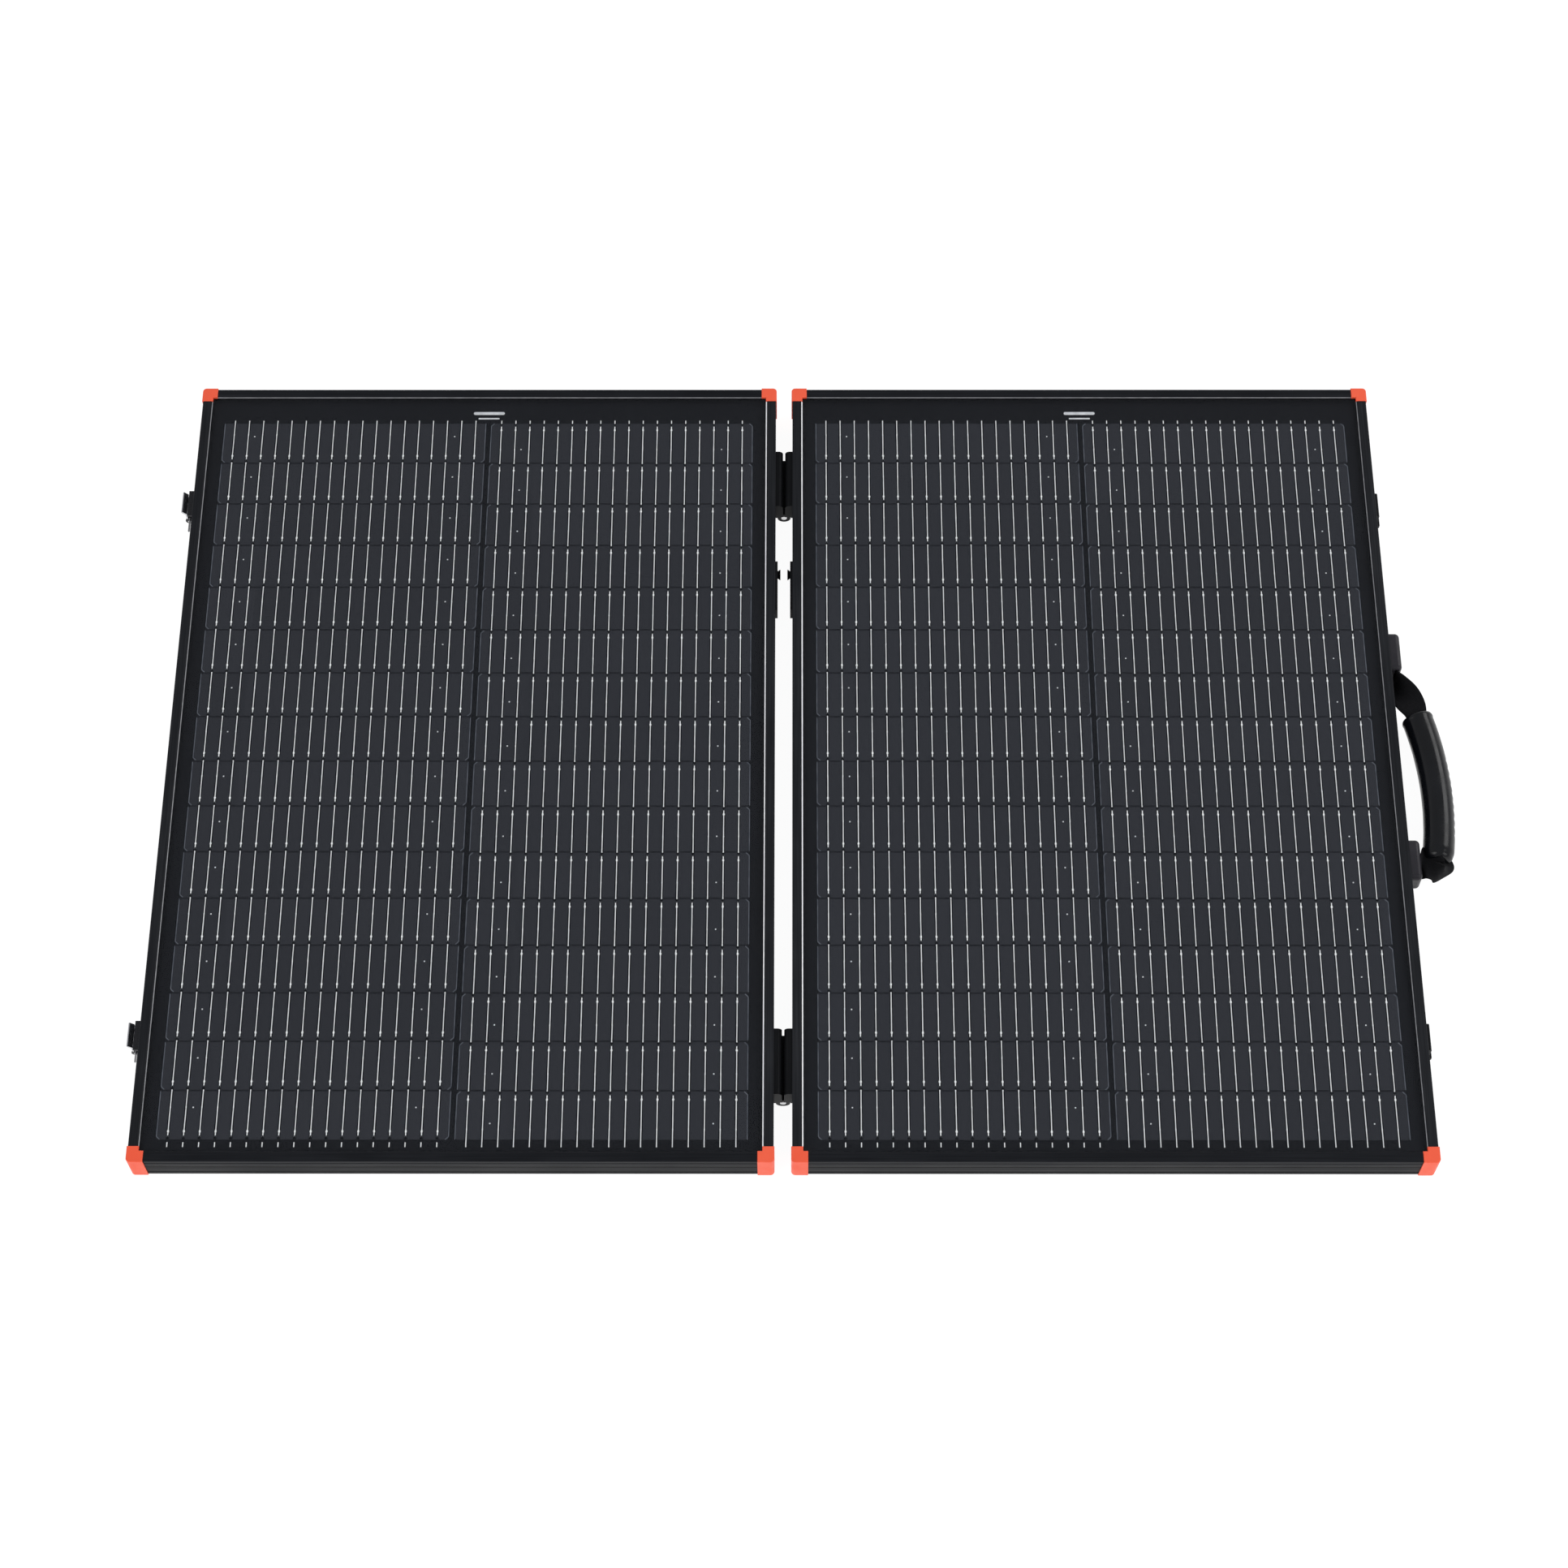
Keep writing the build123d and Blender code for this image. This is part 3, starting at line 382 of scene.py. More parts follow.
BY_SLOT = {
    "corner_cap": cap,
    "cell": cells,
    "backsheet": film,
    "glass": glass,
    "box": box,
    "foot": rubber,
    "steel": steel,
    "hinge": hinge,
    "pin": pin,
    "latch_steel": chrome,
    "mount": nylon,
    "webbing": webbing,
    "grip": elastomer,
    "controller": case,
    "window": window,
    "board": board,
    "button": key,
}
BY_NODE = {}
for panel in PANELS:
    for rail_name in ("inner", "outer"):
        BY_NODE[f"{panel}_frame_{rail_name}"] = frame_y_painted_sheen
    for rail_name in ("far", "near"):
        BY_NODE[f"{panel}_frame_{rail_name}"] = frame_x
    BY_NODE[f"{panel}_stand_legs"] = stand_y
    BY_NODE[f"{panel}_stand_crossbar"] = stand_x
    BY_NODE[f"{panel}_stand_pivots"] = blackened
    BY_NODE[f"hinge_screws_{panel}"] = blackened
BY_NODE["latch_bases"] = blackened
BY_NODE["latch_bail_far"] = BY_NODE["latch_bail_near"] = dark_steel
BY_NODE["keeper_rivets"] = blackened
BY_NODE["handle_screws"] = blackened

SLOT_OF = {part["node"]: part["material_slot"] for part in frame["record"]["subparts"]}
for node_name, node in NODES.items():
    finish = BY_NODE.get(node_name) or BY_SLOT[SLOT_OF[node_name]]
    node.data.materials.clear()
    node.data.materials.append(finish.material)


# ---------------------------------------------------------------- meshes


def piece(name, points, faces, finish, body, smooth=False, uvs=None):
    """A mesh object that rides on a body, or with no body is left for a blend."""
    mesh = bpy.data.meshes.new(name)
    mesh.from_pydata([tuple(p) for p in points], [], [tuple(f) for f in faces])
    mesh.validate()
    if uvs is not None:
        layer = mesh.uv_layers.new(name="flat")
        for loop in mesh.loops:
            layer.data[loop.index].uv = uvs[loop.vertex_index]
    mesh.materials.append(finish.material)
    if smooth:
        mesh.shade_smooth()
    mesh.update()
    made = bpy.data.objects.new(name, mesh)
    bpy.context.scene.collection.objects.link(made)
    if body:
        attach(made, body)
    return made


class Heap:
    """Points and faces of many small closed solids that make one piece."""

    def __init__(self):
        self.points = []
        self.faces = []

    def rings(self, rings):
        """A closed solid through rings of points, all of one count, with a face at each end."""
        start = len(self.points)
        count = len(rings[0])
        for ring in rings:
            self.points.extend(ring)
        for n in range(len(rings) - 1):
            for k in range(count):
                a, b = start + n * count + k, start + n * count + (k + 1) % count
                self.faces.append((a, b, b + count, a + count))
        self.faces.append(tuple(start + k for k in reversed(range(count))))
        last = start + (len(rings) - 1) * count
        self.faces.append(tuple(last + k for k in range(count)))

    def loop(self, rings):
        """A closed solid whose last ring joins its first."""
        start = len(self.points)
        count = len(rings[0])
        for ring in rings:
            self.points.extend(ring)
        for n in range(len(rings)):
            here, there = start + n * count, start + (n + 1) % len(rings) * count
            for k in range(count):
                after = (k + 1) % count
                self.faces.append((here + k, here + after, there + after, there + k))

    def turned(self, centre, profile, sides=20):
        """A solid of rings about +Z: profile is (radius, height) from the bottom up."""
        rings = []
        for radius, height in profile:
            ring = []
            for k in range(sides):
                angle = 2 * math.pi * k / sides
                offset = Vector((radius * math.cos(angle), radius * math.sin(angle), height))
                ring.append(Vector(centre) + offset)
            rings.append(ring)
        self.rings(rings)

    def piece(self, name, finish, slot, body, smooth=False):
        """The heap as one object on a body."""
        return piece(name, self.points, self.faces, finish, body, smooth)


# ---------------------------------------------------------------- laminate

WIRES = 18
WIRE_FIRST, WIRE_PITCH = 0.0081, 0.0114
WIRE_W, WIRE_H = 0.00072, 0.00026
BREAK = 0.0031  # from the cell's edge to the fork
BEAD_AT = 0.0031  # from the fork
SPECK_AT = 0.0136  # from the plain end
BEAD = ((-0.0009, 1.15), (-0.0004, 2.2), (0.0006, 2.2), (0.0011, 1.0))
SPECK = ((-0.0007, 1.0), (-0.0003, 1.35), (0.0003, 1.35), (0.0007, 1.0))
WIRE_WANDER = 0.00005
# Strips of painted shade beside each wire: width, height, and inset from the cell's ends.
SHADE_STRIP_W, SHADE_STRIP_H, SHADE_STRIP_INSET = 0.0023, 0.00003, 0.0001
GAP_H = 0.00008
OVERRUN_FAR, OVERRUN_NEAR = 0.0027, 0.0058  # of the wires, past the first and the last cell
STUB_FROM = 0.0022  # past the last cell, where the left column's wires start again
STUB_LAP = 0.0002
DOTS_X = (0.0246, 0.1854)
DOT_PROFILE = ((0.0006, 0), (0.00055, 0.00006), (0.00025, 0.0001))
# Along from the fork, out from the wire's middle, and the prong's width there.
PRONG = ((0.0005, 0.0002, 0.00032), (-0.0006, 0.00056, 0.00024), (-0.0013, 0.00072, 0.0002))
PRONG_H = 0.00012
CORNER_CUT, EDGE_W, EDGE_H = 0.0024, 0.00062, 0.00006


def flat_bar(heap, x, low, high, half, bed, tall):
    """A thin flat bar along Y."""
    rings = []
    for y in (low, high):
        ring = [Vector((x - half, y, bed)), Vector((x - half, y, bed + tall))]
        rings.append(ring + [Vector((x + half, y, bed + tall)), Vector((x + half, y, bed))])
    heap.rings(rings)


def wire_run(heap, forks, x, fork_y, plain_y, bed, dice):
    """One length of wire on a cell: a fork and a solder bead at one end, a speck near the other.

    Places are (distance from the fork, width against the plain wire's).
    """
    way = 1 if plain_y > fork_y else -1
    length = abs(plain_y - fork_y)
    places = [(0.0, 1.15), (0.0009, 1.25)]
    places += [(BEAD_AT + shift, wide) for shift, wide in BEAD]
    places.append((length * 0.45, 1.0))
    places += [(length - SPECK_AT + shift, wide) for shift, wide in SPECK]
    places += [(length - 0.0013, 1.0), (length - 0.0006, 1.2), (length, 1.1)]
    rings = []
    for along, wide in places:
        half = WIRE_W / 2 * wide * dice.uniform(0.92, 1.08)
        tall = WIRE_H * (1.0 if wide < 1.5 else 1.1)
        middle = x + dice.uniform(-WIRE_WANDER, WIRE_WANDER)
        y = fork_y + way * along
        ring = [(middle - half, y, bed), (middle - half * 0.7, y, bed + tall)]
        ring += [(middle + half * 0.7, y, bed + tall), (middle + half, y, bed)]
        rings.append(ring if way > 0 else ring[::-1])
    heap.rings(rings)
    for side in (-1, 1):
        prong = []
        for along, out, wide in PRONG:
            y = fork_y + way * along
            middle = x + side * out
            ring = [(middle - wide / 2, y, bed), (middle - wide / 2, y, bed + PRONG_H)]
            ring += [(middle + wide / 2, y, bed + PRONG_H), (middle + wide / 2, y, bed)]
            prong.append(ring if way > 0 else ring[::-1])
        forks.rings(prong[::-1])


def outline(heap, x0, x1, far, near, cut_far, bed):
    """The pale edge of a cell, with two of its corners cut."""
    if cut_far:
        far, near = near, far
    way = 1 if far > near else -1
    runs = [
        ((x0, far), (x0, near + way * CORNER_CUT)),
        ((x0, near + way * CORNER_CUT), (x0 + CORNER_CUT, near)),
        ((x1, near + way * CORNER_CUT), (x1 - CORNER_CUT, near)),
        ((x1, far), (x1, near + way * CORNER_CUT)),
    ]
    for (ax, ay), (bx, by) in runs:
        along = Vector((bx - ax, by - ay, 0)).normalized()
        across = Vector((-along.y, along.x, 0)) * EDGE_W / 2
        up = Vector((0, 0, EDGE_H))
        rings = []
        for point in (Vector((ax, ay, bed)), Vector((bx, by, bed))):
            rings.append([point - across, point + across, point + across + up, point - across + up])
        heap.rings(rings[::-1])


def laminate(panel):
    """Wires, cell edges, printed dots and strips of painted shade beside the wires, under a panel's glass."""
    dice = random.Random(11 if panel == "left" else 12)
    low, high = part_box(f"{panel}_cells")
    bed = high.z
    body = f"{panel}_panel"
    wires, forks, shade_strips, edges, dots, gaps = Heap(), Heap(), Heap(), Heap(), Heap(), Heap()
    for column, x0 in enumerate((low.x, high.x - CELL_W)):
        for row in range(ROWS):
            far = high.y - row * PITCH_Y
            near = far - CELL_L
            outline(edges, x0, x0 + CELL_W, far, near, column == 1, bed)
            if row < ROWS - 1:
                flat_bar(gaps, x0 + CELL_W / 2, far - PITCH_Y, near, CELL_W / 2, low.z, GAP_H)
            share = 1 / 3 if column == 0 else 2 / 3
            for dot_x in DOTS_X:
                dots.turned((x0 + dot_x, far - share * CELL_L, bed), DOT_PROFILE, 10)
            for n in range(WIRES):
                x = x0 + WIRE_FIRST + n * WIRE_PITCH
                # A near black strip of painted shade under and beside the wire.
                flat_bar(shade_strips, x, near + SHADE_STRIP_INSET, far - SHADE_STRIP_INSET, SHADE_STRIP_W / 2, bed, SHADE_STRIP_H)
                if column == 0:
                    start = far + (OVERRUN_FAR if row == 0 else ROW_GAP)
                    wire_run(wires, forks, x, near + BREAK, start, bed, dice)
                else:
                    stop = near - (OVERRUN_NEAR if row == ROWS - 1 else ROW_GAP)
                    wire_run(wires, forks, x, far - BREAK, stop, bed, dice)
        for n in range(WIRES):
            x = x0 + WIRE_FIRST + n * WIRE_PITCH
            if column == 0:
                last = high.y - (ROWS - 1) * PITCH_Y - CELL_L
                stub = (last - OVERRUN_NEAR, last - STUB_FROM)
            else:
                stub = (high.y - STUB_LAP, high.y + OVERRUN_FAR)
            flat_bar(wires, x, *stub, WIRE_W / 2, bed, WIRE_H)
    wires.piece(f"{panel}_wires", wire, "cell", body)
    forks.piece(f"{panel}_wire_forks", fork_tip, "cell", body)
    shade_strips.piece(f"{panel}_wire_beds", wire_shade, "cell", body)
    gaps.piece(f"{panel}_row_gaps", gap_film, "backsheet", body)
    edges.piece(f"{panel}_cell_edges", cell_edge, "cell", body)
    dots.piece(f"{panel}_cell_dots", solder, "cell", body)


PANE_INSET, PANE_ARRIS = 0.0001, 0.0005
PANE_LIFT, PANE_DROP = 0.0004, 0.00002  # of its underside and its top, inside the glass's own


def pane(panel):
    """The glass itself, with an arris all round."""
    low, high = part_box(f"{panel}_glass")
    under, top = low.z + PANE_LIFT, high.z - PANE_DROP
    slim = PANE_INSET + PANE_ARRIS
    levels = ((slim, under), (PANE_INSET, under + PANE_ARRIS), (PANE_INSET, high.z - PANE_ARRIS), (slim, top))
    rings = []
    for step, z in levels:
        x0, x1 = low.x + step, high.x - step
        y0, y1 = low.y + step, high.y - step
        rings.append([Vector(p) for p in ((x0, y0, z), (x1, y0, z), (x1, y1, z), (x0, y1, z))])
    heap = Heap()
    heap.rings(rings)
    made = heap.piece(f"{panel}_pane", glass, "glass", f"{panel}_panel")
    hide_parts(f"{panel}_glass")


LIP = 0.008  # of the rail, over the glass
LIP_BEVEL = (0.0015, 0.0009)  # inward and down
LIP_PROUD = 0.00004


def lip_edges(panel):
    """The cut edge of a rail beside the glass, a real bevel with a painted highlight: strong on the inner rail,
    faint on the others.
    """
    for rail_name in ("inner", "outer", "far"):
        low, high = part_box(f"{panel}_frame_{rail_name}")
        middle = (low + high) / 2
        glass_low, glass_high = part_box(f"{panel}_glass")
        centre = (glass_low + glass_high) / 2
        across = Vector((1, 0, 0)) if rail_name in ("inner", "outer") else Vector((0, 1, 0))
        inward = across if (centre - middle).dot(across) > 0 else -across
        along = Vector((abs(across.y), abs(across.x), 0))
        reach = (high - low).dot(along) / 2
        wall = low.dot(across) if inward.dot(across) > 0 else high.dot(across)
        edge = across * wall + inward * LIP + along * middle.dot(along)
        # Painted highlight: the same cut edge is near white on the inner rail and grey on the others.
        width, finish = (0.6, edge_highlight_strong) if rail_name == "inner" else (0.4, edge_highlight_faint)
        raised = (inward * LIP_BEVEL[1] + Vector((0, 0, LIP_BEVEL[0]))).normalized() * LIP_PROUD
        foot = edge + Vector((0, 0, high.z - LIP_BEVEL[1] * 0.96))
        crest = foot + (Vector((0, 0, LIP_BEVEL[1])) - inward * LIP_BEVEL[0]) * 0.92 * width
        heap = Heap()
        rings = []
        for end in (-1, 1):
            shift = along * end * (reach - 0.0001)
            under = [foot + shift - raised, crest + shift - raised]
            rings.append(under + [crest + shift + raised, foot + shift + raised])
        heap.rings(rings if along.cross(inward).z > 0 else rings[::-1])
        heap.piece(f"{panel}_lip_edge_{rail_name}", finish, "frame", f"{panel}_panel")


# Each bar's distance past the cells, half length and width.
PRINTED_BARS = ((0.0098, 0.0125, 0.0028), (0.0048, 0.0085, 0.0014))
BAR_SECTION = ((0.0, 0.0), (0.0, 0.00006), (0.0003, 0.00009))


def printed_bars(panel):
    """Two plain printed bars near the far edge, with no lettering."""
    low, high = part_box(f"{panel}_cells")
    heap = Heap()
    x = (low.x + high.x) / 2
    for past, half, tall in PRINTED_BARS:
        rings = []
        for step, lift in BAR_SECTION:
            ring = []
            for k in range(24):
                angle = 2 * math.pi * k / 24
                side = 1 if math.cos(angle) > 0 else -1
                radius = tall / 2 - step * 0.5
                centre = x + side * (half - tall / 2)
                y = high.y + past + radius * math.sin(angle)
                ring.append(Vector((centre + radius * math.cos(angle), y, high.z + lift)))
            rings.append(ring)
        heap.rings(rings)
    heap.piece(f"{panel}_printed_bars", solder, "cell", f"{panel}_panel")


for panel in PANELS:
    laminate(panel)
    pane(panel)
    lip_edges(panel)
    printed_bars(panel)


# ---------------------------------------------------------------- backs of the panels


def socket_head(heap, centre, radius, tall):
    """A screw head that looks down, with a hexagon socket."""
    socket = radius * 0.48
    profile = [(socket, -tall * 0.3, True), (socket, -tall, True), (radius * 0.84, -tall, False)]
    profile += [(radius, -tall * 0.7, False), (radius, 0.0001, False)]
    rings = []
    for reach, height, six_sided in profile:
        ring = []
        for k in range(24):
            angle = 2 * math.pi * k / 24
            flat = math.cos(math.pi / 6) / math.cos(angle % (math.pi / 3) - math.pi / 6)
            size = reach * (flat if six_sided else 1.0)
            ring.append(Vector(centre) + Vector((size * math.cos(angle), size * math.sin(angle), height)))
        rings.append(ring)
    heap.rings(rings)


def corner_screws(heap, low, high, inset, radius, tall):
    """A screw head near each corner of a face that looks down."""
    for x in (low.x + inset, high.x - inset):
        for y in (low.y + inset, high.y - inset):
            socket_head(heap, (x, y, low.z), radius, tall)


def rounded_path(x0, y0, x1, y1, radius):
    """Points round a rectangle with round corners, each with its outward direction."""
    path = []
    for cx, cy, first in ((x1, y1, 0), (x0, y1, 90), (x0, y0, 180), (x1, y0, 270)):
        inset_x = cx - math.copysign(radius, cx - (x0 + x1) / 2)
        inset_y = cy - math.copysign(radius, cy - (y0 + y1) / 2)
        for k in range(7):
            angle = math.radians(first + 15 * k)
            out = Vector((math.cos(angle), math.sin(angle), 0))
            path.append((Vector((inset_x, inset_y, 0)) + out * radius, out))
    return path


def bezel(heap, corners, radius, wide, top, tall):
    """A raised rim on a face that looks down, bevelled on its outer side."""
    rings = []
    for point, out in rounded_path(*corners, radius):
        section = ((0.0, top + 0.0001), (wide, top + 0.0001), (wide * 0.7, top - tall), (0.0, top - tall))
        rings.append([point + out * reach + Vector((0, 0, height)) for reach, height in section])
    heap.loop(rings[::-1])


NUT_BORE, NUT_RADIUS, NUT_RIB, NUT_RIBS = 0.0058, 0.00602, 0.00036, 14
NUT_FROM, NUT_TO = 0.0054, 0.0116  # out from the box's wall


def gland_collar(heap, centre, start, stop):
    """The ribbed nut of a cable gland, round its axis along Y, from start down to stop."""
    rings = []
    for k in range(96):
        angle = 2 * math.pi * k / 96
        rib = 0.5 + 0.5 * math.tanh(2.4 * math.cos(NUT_RIBS * angle))
        outer = NUT_RADIUS + NUT_RIB * rib
        spoke = Vector((math.cos(angle), 0, math.sin(angle)))
        section = [(NUT_BORE, start), (outer - 0.0002, start), (outer, start - 0.0004)]
        section += [(outer, stop + 0.0004), (outer - 0.0002, stop), (NUT_BORE, stop)]
        rings.append([centre + spoke * reach + Vector((0, along, 0)) for reach, along in section])
    heap.loop(rings)


LID_INSET, LID_SCREW = 0.007, (0.0027, 0.0009)  # the head's radius and height
RIM_IN_X, RIM_IN_Y = 0.015, 0.008
BOX_WALL = 0.002  # which the glands go through


def junction_details(panel):
    """Lid screws, a rim round the lid, and ribbed gland nuts."""
    body = f"{panel}_panel"
    low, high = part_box(f"{panel}_junction_lid")
    screws, rim, nuts = Heap(), Heap(), Heap()
    corner_screws(screws, low, high, LID_INSET, *LID_SCREW)
    corners = (low.x + RIM_IN_X, low.y + RIM_IN_Y, high.x - RIM_IN_X, high.y - RIM_IN_Y)
    bezel(rim, corners, 0.004, 0.0009, low.z, 0.0004)
    gland_low, gland_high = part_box(f"{panel}_cable_glands")
    reach = (gland_high.z - gland_low.z) / 2
    wall = gland_high.y - BOX_WALL
    for x in (gland_low.x + reach, gland_high.x - reach):
        gland_collar(nuts, Vector((x, 0, gland_low.z + reach)), wall - NUT_FROM, wall - NUT_TO)
    screws.piece(f"{panel}_lid_screws", steel, "box", body)
    rim.piece(f"{panel}_lid_rim", box, "box", body)
    nuts.piece(f"{panel}_gland_nuts", box, "box", body)


FACE_INSET, FACE_SCREW = 0.006, (0.0024, 0.0008)
TERMINALS, CLAMP_SCREW = 6, (0.0018, 0.0012)
WINDOW_GAP = 0.0002
LENSES, LENS_PITCH, LENS_AWAY = 4, 0.011, 0.0095  # away from the display's near edge
LENS_PROFILE = ((0.0005, -0.0008), (0.0010, -0.0007), (0.0015, -0.0003), (0.0016, 0.0001))
KEY_MARGIN = 0.0035


def controller_details():
    """Face and terminal screws, the display's bezel, lenses, a printed line round the keys."""
    low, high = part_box("controller_face")
    screws, rim, lenses, line, clamps = Heap(), Heap(), Heap(), Heap(), Heap()
    corner_screws(screws, low, high, FACE_INSET, *FACE_SCREW)
    window_low, window_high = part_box("controller_window")
    near_corner = (window_low.x - WINDOW_GAP, window_low.y - WINDOW_GAP)
    far_corner = (window_high.x + WINDOW_GAP, window_high.y + WINDOW_GAP)
    bezel(rim, near_corner + far_corner, 0.0006, 0.0016, low.z, 0.0006)
    middle = (window_low.x + window_high.x) / 2
    for n in range(LENSES):
        x = middle + (n - (LENSES - 1) / 2) * LENS_PITCH
        lenses.turned((x, window_low.y - LENS_AWAY, low.z), LENS_PROFILE, 16)
    keys = [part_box(f"controller_button_{n}") for n in (1, 2, 3)]
    left = min(key_box[0].x for key_box in keys) - KEY_MARGIN
    right = max(key_box[1].x for key_box in keys) + KEY_MARGIN
    near = min(key_box[0].y for key_box in keys) - KEY_MARGIN
    far = max(key_box[1].y for key_box in keys) + KEY_MARGIN
    bezel(line, (left, near, right, far), 0.004, 0.0006, low.z, 0.00006)
    base_low, base_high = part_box("controller_terminals")
    pitch = (base_high.x - base_low.x) / TERMINALS
    for n in range(TERMINALS):
        centre = (base_low.x + (n + 0.5) * pitch, (base_low.y + base_high.y) / 2, base_low.z + 0.002)
        socket_head(clamps, centre, *CLAMP_SCREW)
    screws.piece("controller_screws", steel, "steel", "left_panel")
    rim.piece("controller_bezel", box, "controller", "left_panel")
    lenses.piece("controller_lenses", lens, "window", "left_panel", smooth=True)
    line.piece("controller_key_line", solder, "controller", "left_panel")
    clamps.piece("controller_clamps", steel, "steel", "left_panel")


for panel in PANELS:
    junction_details(panel)
controller_details()


# ---------------------------------------------------------------- handle

WALL_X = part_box("right_frame_outer")[1].x
GRIP_H = (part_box("handle_mounts")[0].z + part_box("handle_mounts")[1].z) / 2
GRIP_ENDS = (0.0355, -0.087)
GRIP_OUT = (0.0178, 0.0272, 0.0228)  # outward of the wall at the far end, at Y -0.030, at the near end
GRIP_MID_Y = -0.030
GRIP_RADIUS, RIM_LENGTH = 0.01185, 0.0006
RIDGES_FROM, RIDGES_STOP = 0.034, 0.018  # from the far end, and short of the near end
RIDGE_PITCH, RIDGE_DEPTH, RIDGE_FADE = 0.0068, 0.0009, 0.006


def handle_point(y, out, up=0.0):
    """A point beside the right outer wall: along Y, outward, and above the grip's middle."""
    return Vector((WALL_X + out, y, GRIP_H + up))


def circle_through(a, b, c):
    """Centre and radius, in the plane of Y and outward, of the circle through three points."""
    (x1, y1), (x2, y2), (x3, y3) = a, b, c
    d = 2 * (x1 * (y2 - y3) + x2 * (y3 - y1) + x3 * (y1 - y2))
    s1, s2, s3 = x1 * x1 + y1 * y1, x2 * x2 + y2 * y2, x3 * x3 + y3 * y3
    ux = (s1 * (y2 - y3) + s2 * (y3 - y1) + s3 * (y1 - y2)) / d
    uy = (s1 * (x3 - x2) + s2 * (x1 - x3) + s3 * (x2 - x1)) / d
    return (ux, uy), math.hypot(x1 - ux, y1 - uy)


def grip():
    """The bowed grip: a soft tube with small finger ridges outside, and a lip at each end."""
    ends = [(GRIP_ENDS[0], GRIP_OUT[0]), (GRIP_MID_Y, GRIP_OUT[1]), (GRIP_ENDS[1], GRIP_OUT[2])]
    (centre_y, centre_out), bend = circle_through(*ends)
    first = math.atan2(ends[0][1] - centre_out, ends[0][0] - centre_y)
    last = math.atan2(ends[2][1] - centre_out, ends[2][0] - centre_y)
    arc = abs(last - first) * bend
    stations, around = 230, 56
    rings = []
    for n in range(stations + 1):
        t = n / stations
        s = t * arc
        angle = first + (last - first) * t
        y, out = centre_y + bend * math.cos(angle), centre_out + bend * math.sin(angle)
        outward = Vector((math.sin(angle), math.cos(angle), 0))
        edge = min(s, arc - s)
        body = GRIP_RADIUS
        if edge < RIM_LENGTH:
            body -= 0.0009 * (1 - edge / RIM_LENGTH) ** 2  # the rounded rim
        lip = 0.00035 * math.exp(-((edge - 0.0022) / 0.0014) ** 2)
        body -= 0.0030 * max(0.0, 1 - (arc - s) / 0.009) ** 2  # drawn in at the near end
        body -= 0.0004 * max(0.0, 1 - s / 0.003) ** 2  # and a little at the far end
        ring = []
        for k in range(around):
            turn = 2 * math.pi * k / around
            face = math.cos(turn)
            ridge = 0.0
            if RIDGES_FROM < s < arc - RIDGES_STOP and face > 0.88:
                wave = abs(math.sin(math.pi * (s - RIDGES_FROM) / RIDGE_PITCH))
                fade = min(1.0, (s - RIDGES_FROM) / RIDGE_FADE, (arc - RIDGES_STOP - s) / RIDGE_FADE)
                ridge = -RIDGE_DEPTH * (1 - wave ** 0.7) * fade * min(1.0, (face - 0.88) / 0.1)
            seam = -0.00012 * math.exp(-((abs(math.sin(turn)) - 1.0) / 0.0009) ** 2)
            radius = body + lip + ridge + seam
            offset = (outward * face + Vector((0, 0, 1)) * math.sin(turn)) * radius
            ring.append(handle_point(y, out) + offset)
        rings.append(ring)
    heap = Heap()
    heap.rings(rings)
    made = heap.piece("grip_moulded", elastomer, "grip", "handle", smooth=True)
    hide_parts("handle_grip")


def smooth_between(knots, count):
    """Catmull-Rom values through knots, count to a gap."""
    padded = [2 * knots[0] - knots[1], *knots, 2 * knots[-1] - knots[-2]]
    values = []
    for n in range(1, len(padded) - 2):
        a, b, c, d = padded[n - 1 : n + 3]
        for k in range(count):
            t = k / count
            cubic = (3 * b - a - 3 * c + d) * t ** 3
            values.append(0.5 * (2 * b + (c - a) * t + (2 * a - 5 * b + 4 * c - d) * t * t + cubic))
    values.append(padded[-2])
    return values


WEB_THICK = 0.0015
WEB_ACROSS, WEB_STEPS = 24, 12  # faces across, and from station to station
RIB_HEIGHT, RIB_PITCH = 0.00009, 0.0011


def band(name, stations):
    """Webbing through stations of (centre, direction across, half width), with woven ribs and hems."""
    centres = smooth_between([s[0] for s in stations], WEB_STEPS)
    across = smooth_between([s[1].normalized() for s in stations], WEB_STEPS)
    halves = smooth_between([Vector((s[2], 0, 0)) for s in stations], WEB_STEPS)
    points, faces, uvs = [], [], []
    travelled = 0.0
    normal = None
    rings = []
    for n, centre in enumerate(centres):
        before, after = centres[max(n - 1, 0)], centres[min(n + 1, len(centres) - 1)]
        if n:
            travelled += (centre - centres[n - 1]).length
        wide = across[n].normalized()
        turned = (after - before).cross(wide)
        turned = turned.normalized() if turned.length > 1e-7 else normal
        if normal is not None and turned.dot(normal) < -0.3:
            turned = -turned
        normal = turned
        ring = []
        for side in (1, -1):
            for k in range(WEB_ACROSS + 1):
                share = k / WEB_ACROSS if side > 0 else 1 - k / WEB_ACROSS
                place = (2 * share - 1) * halves[n].x
                hem = min(share, 1 - share) * 2
                thick = WEB_THICK / 2 * min(1.0, 0.45 + hem * 6)
                rib = RIB_HEIGHT * math.cos(math.pi * (k + 2 * round(travelled / RIB_PITCH)))
                lift = thick + (rib if 0 < k < WEB_ACROSS else 0.0)
                ring.append((centre + wide * place + normal * lift * side, (place, travelled)))
        rings.append(ring)
    count = len(rings[0])
    for ring in rings:
        for point, uv in ring:
            points.append(point)
            uvs.append(uv)
    for n in range(len(rings) - 1):
        for k in range(count):
            a, b = n * count + k, n * count + (k + 1) % count
            faces.append((a, a + count, b + count, b))
    faces.append(tuple(range(count)))
    last = (len(rings) - 1) * count
    faces.append(tuple(last + k for k in reversed(range(count))))
    return piece(name, points, faces, webbing, None, smooth=True, uvs=uvs)


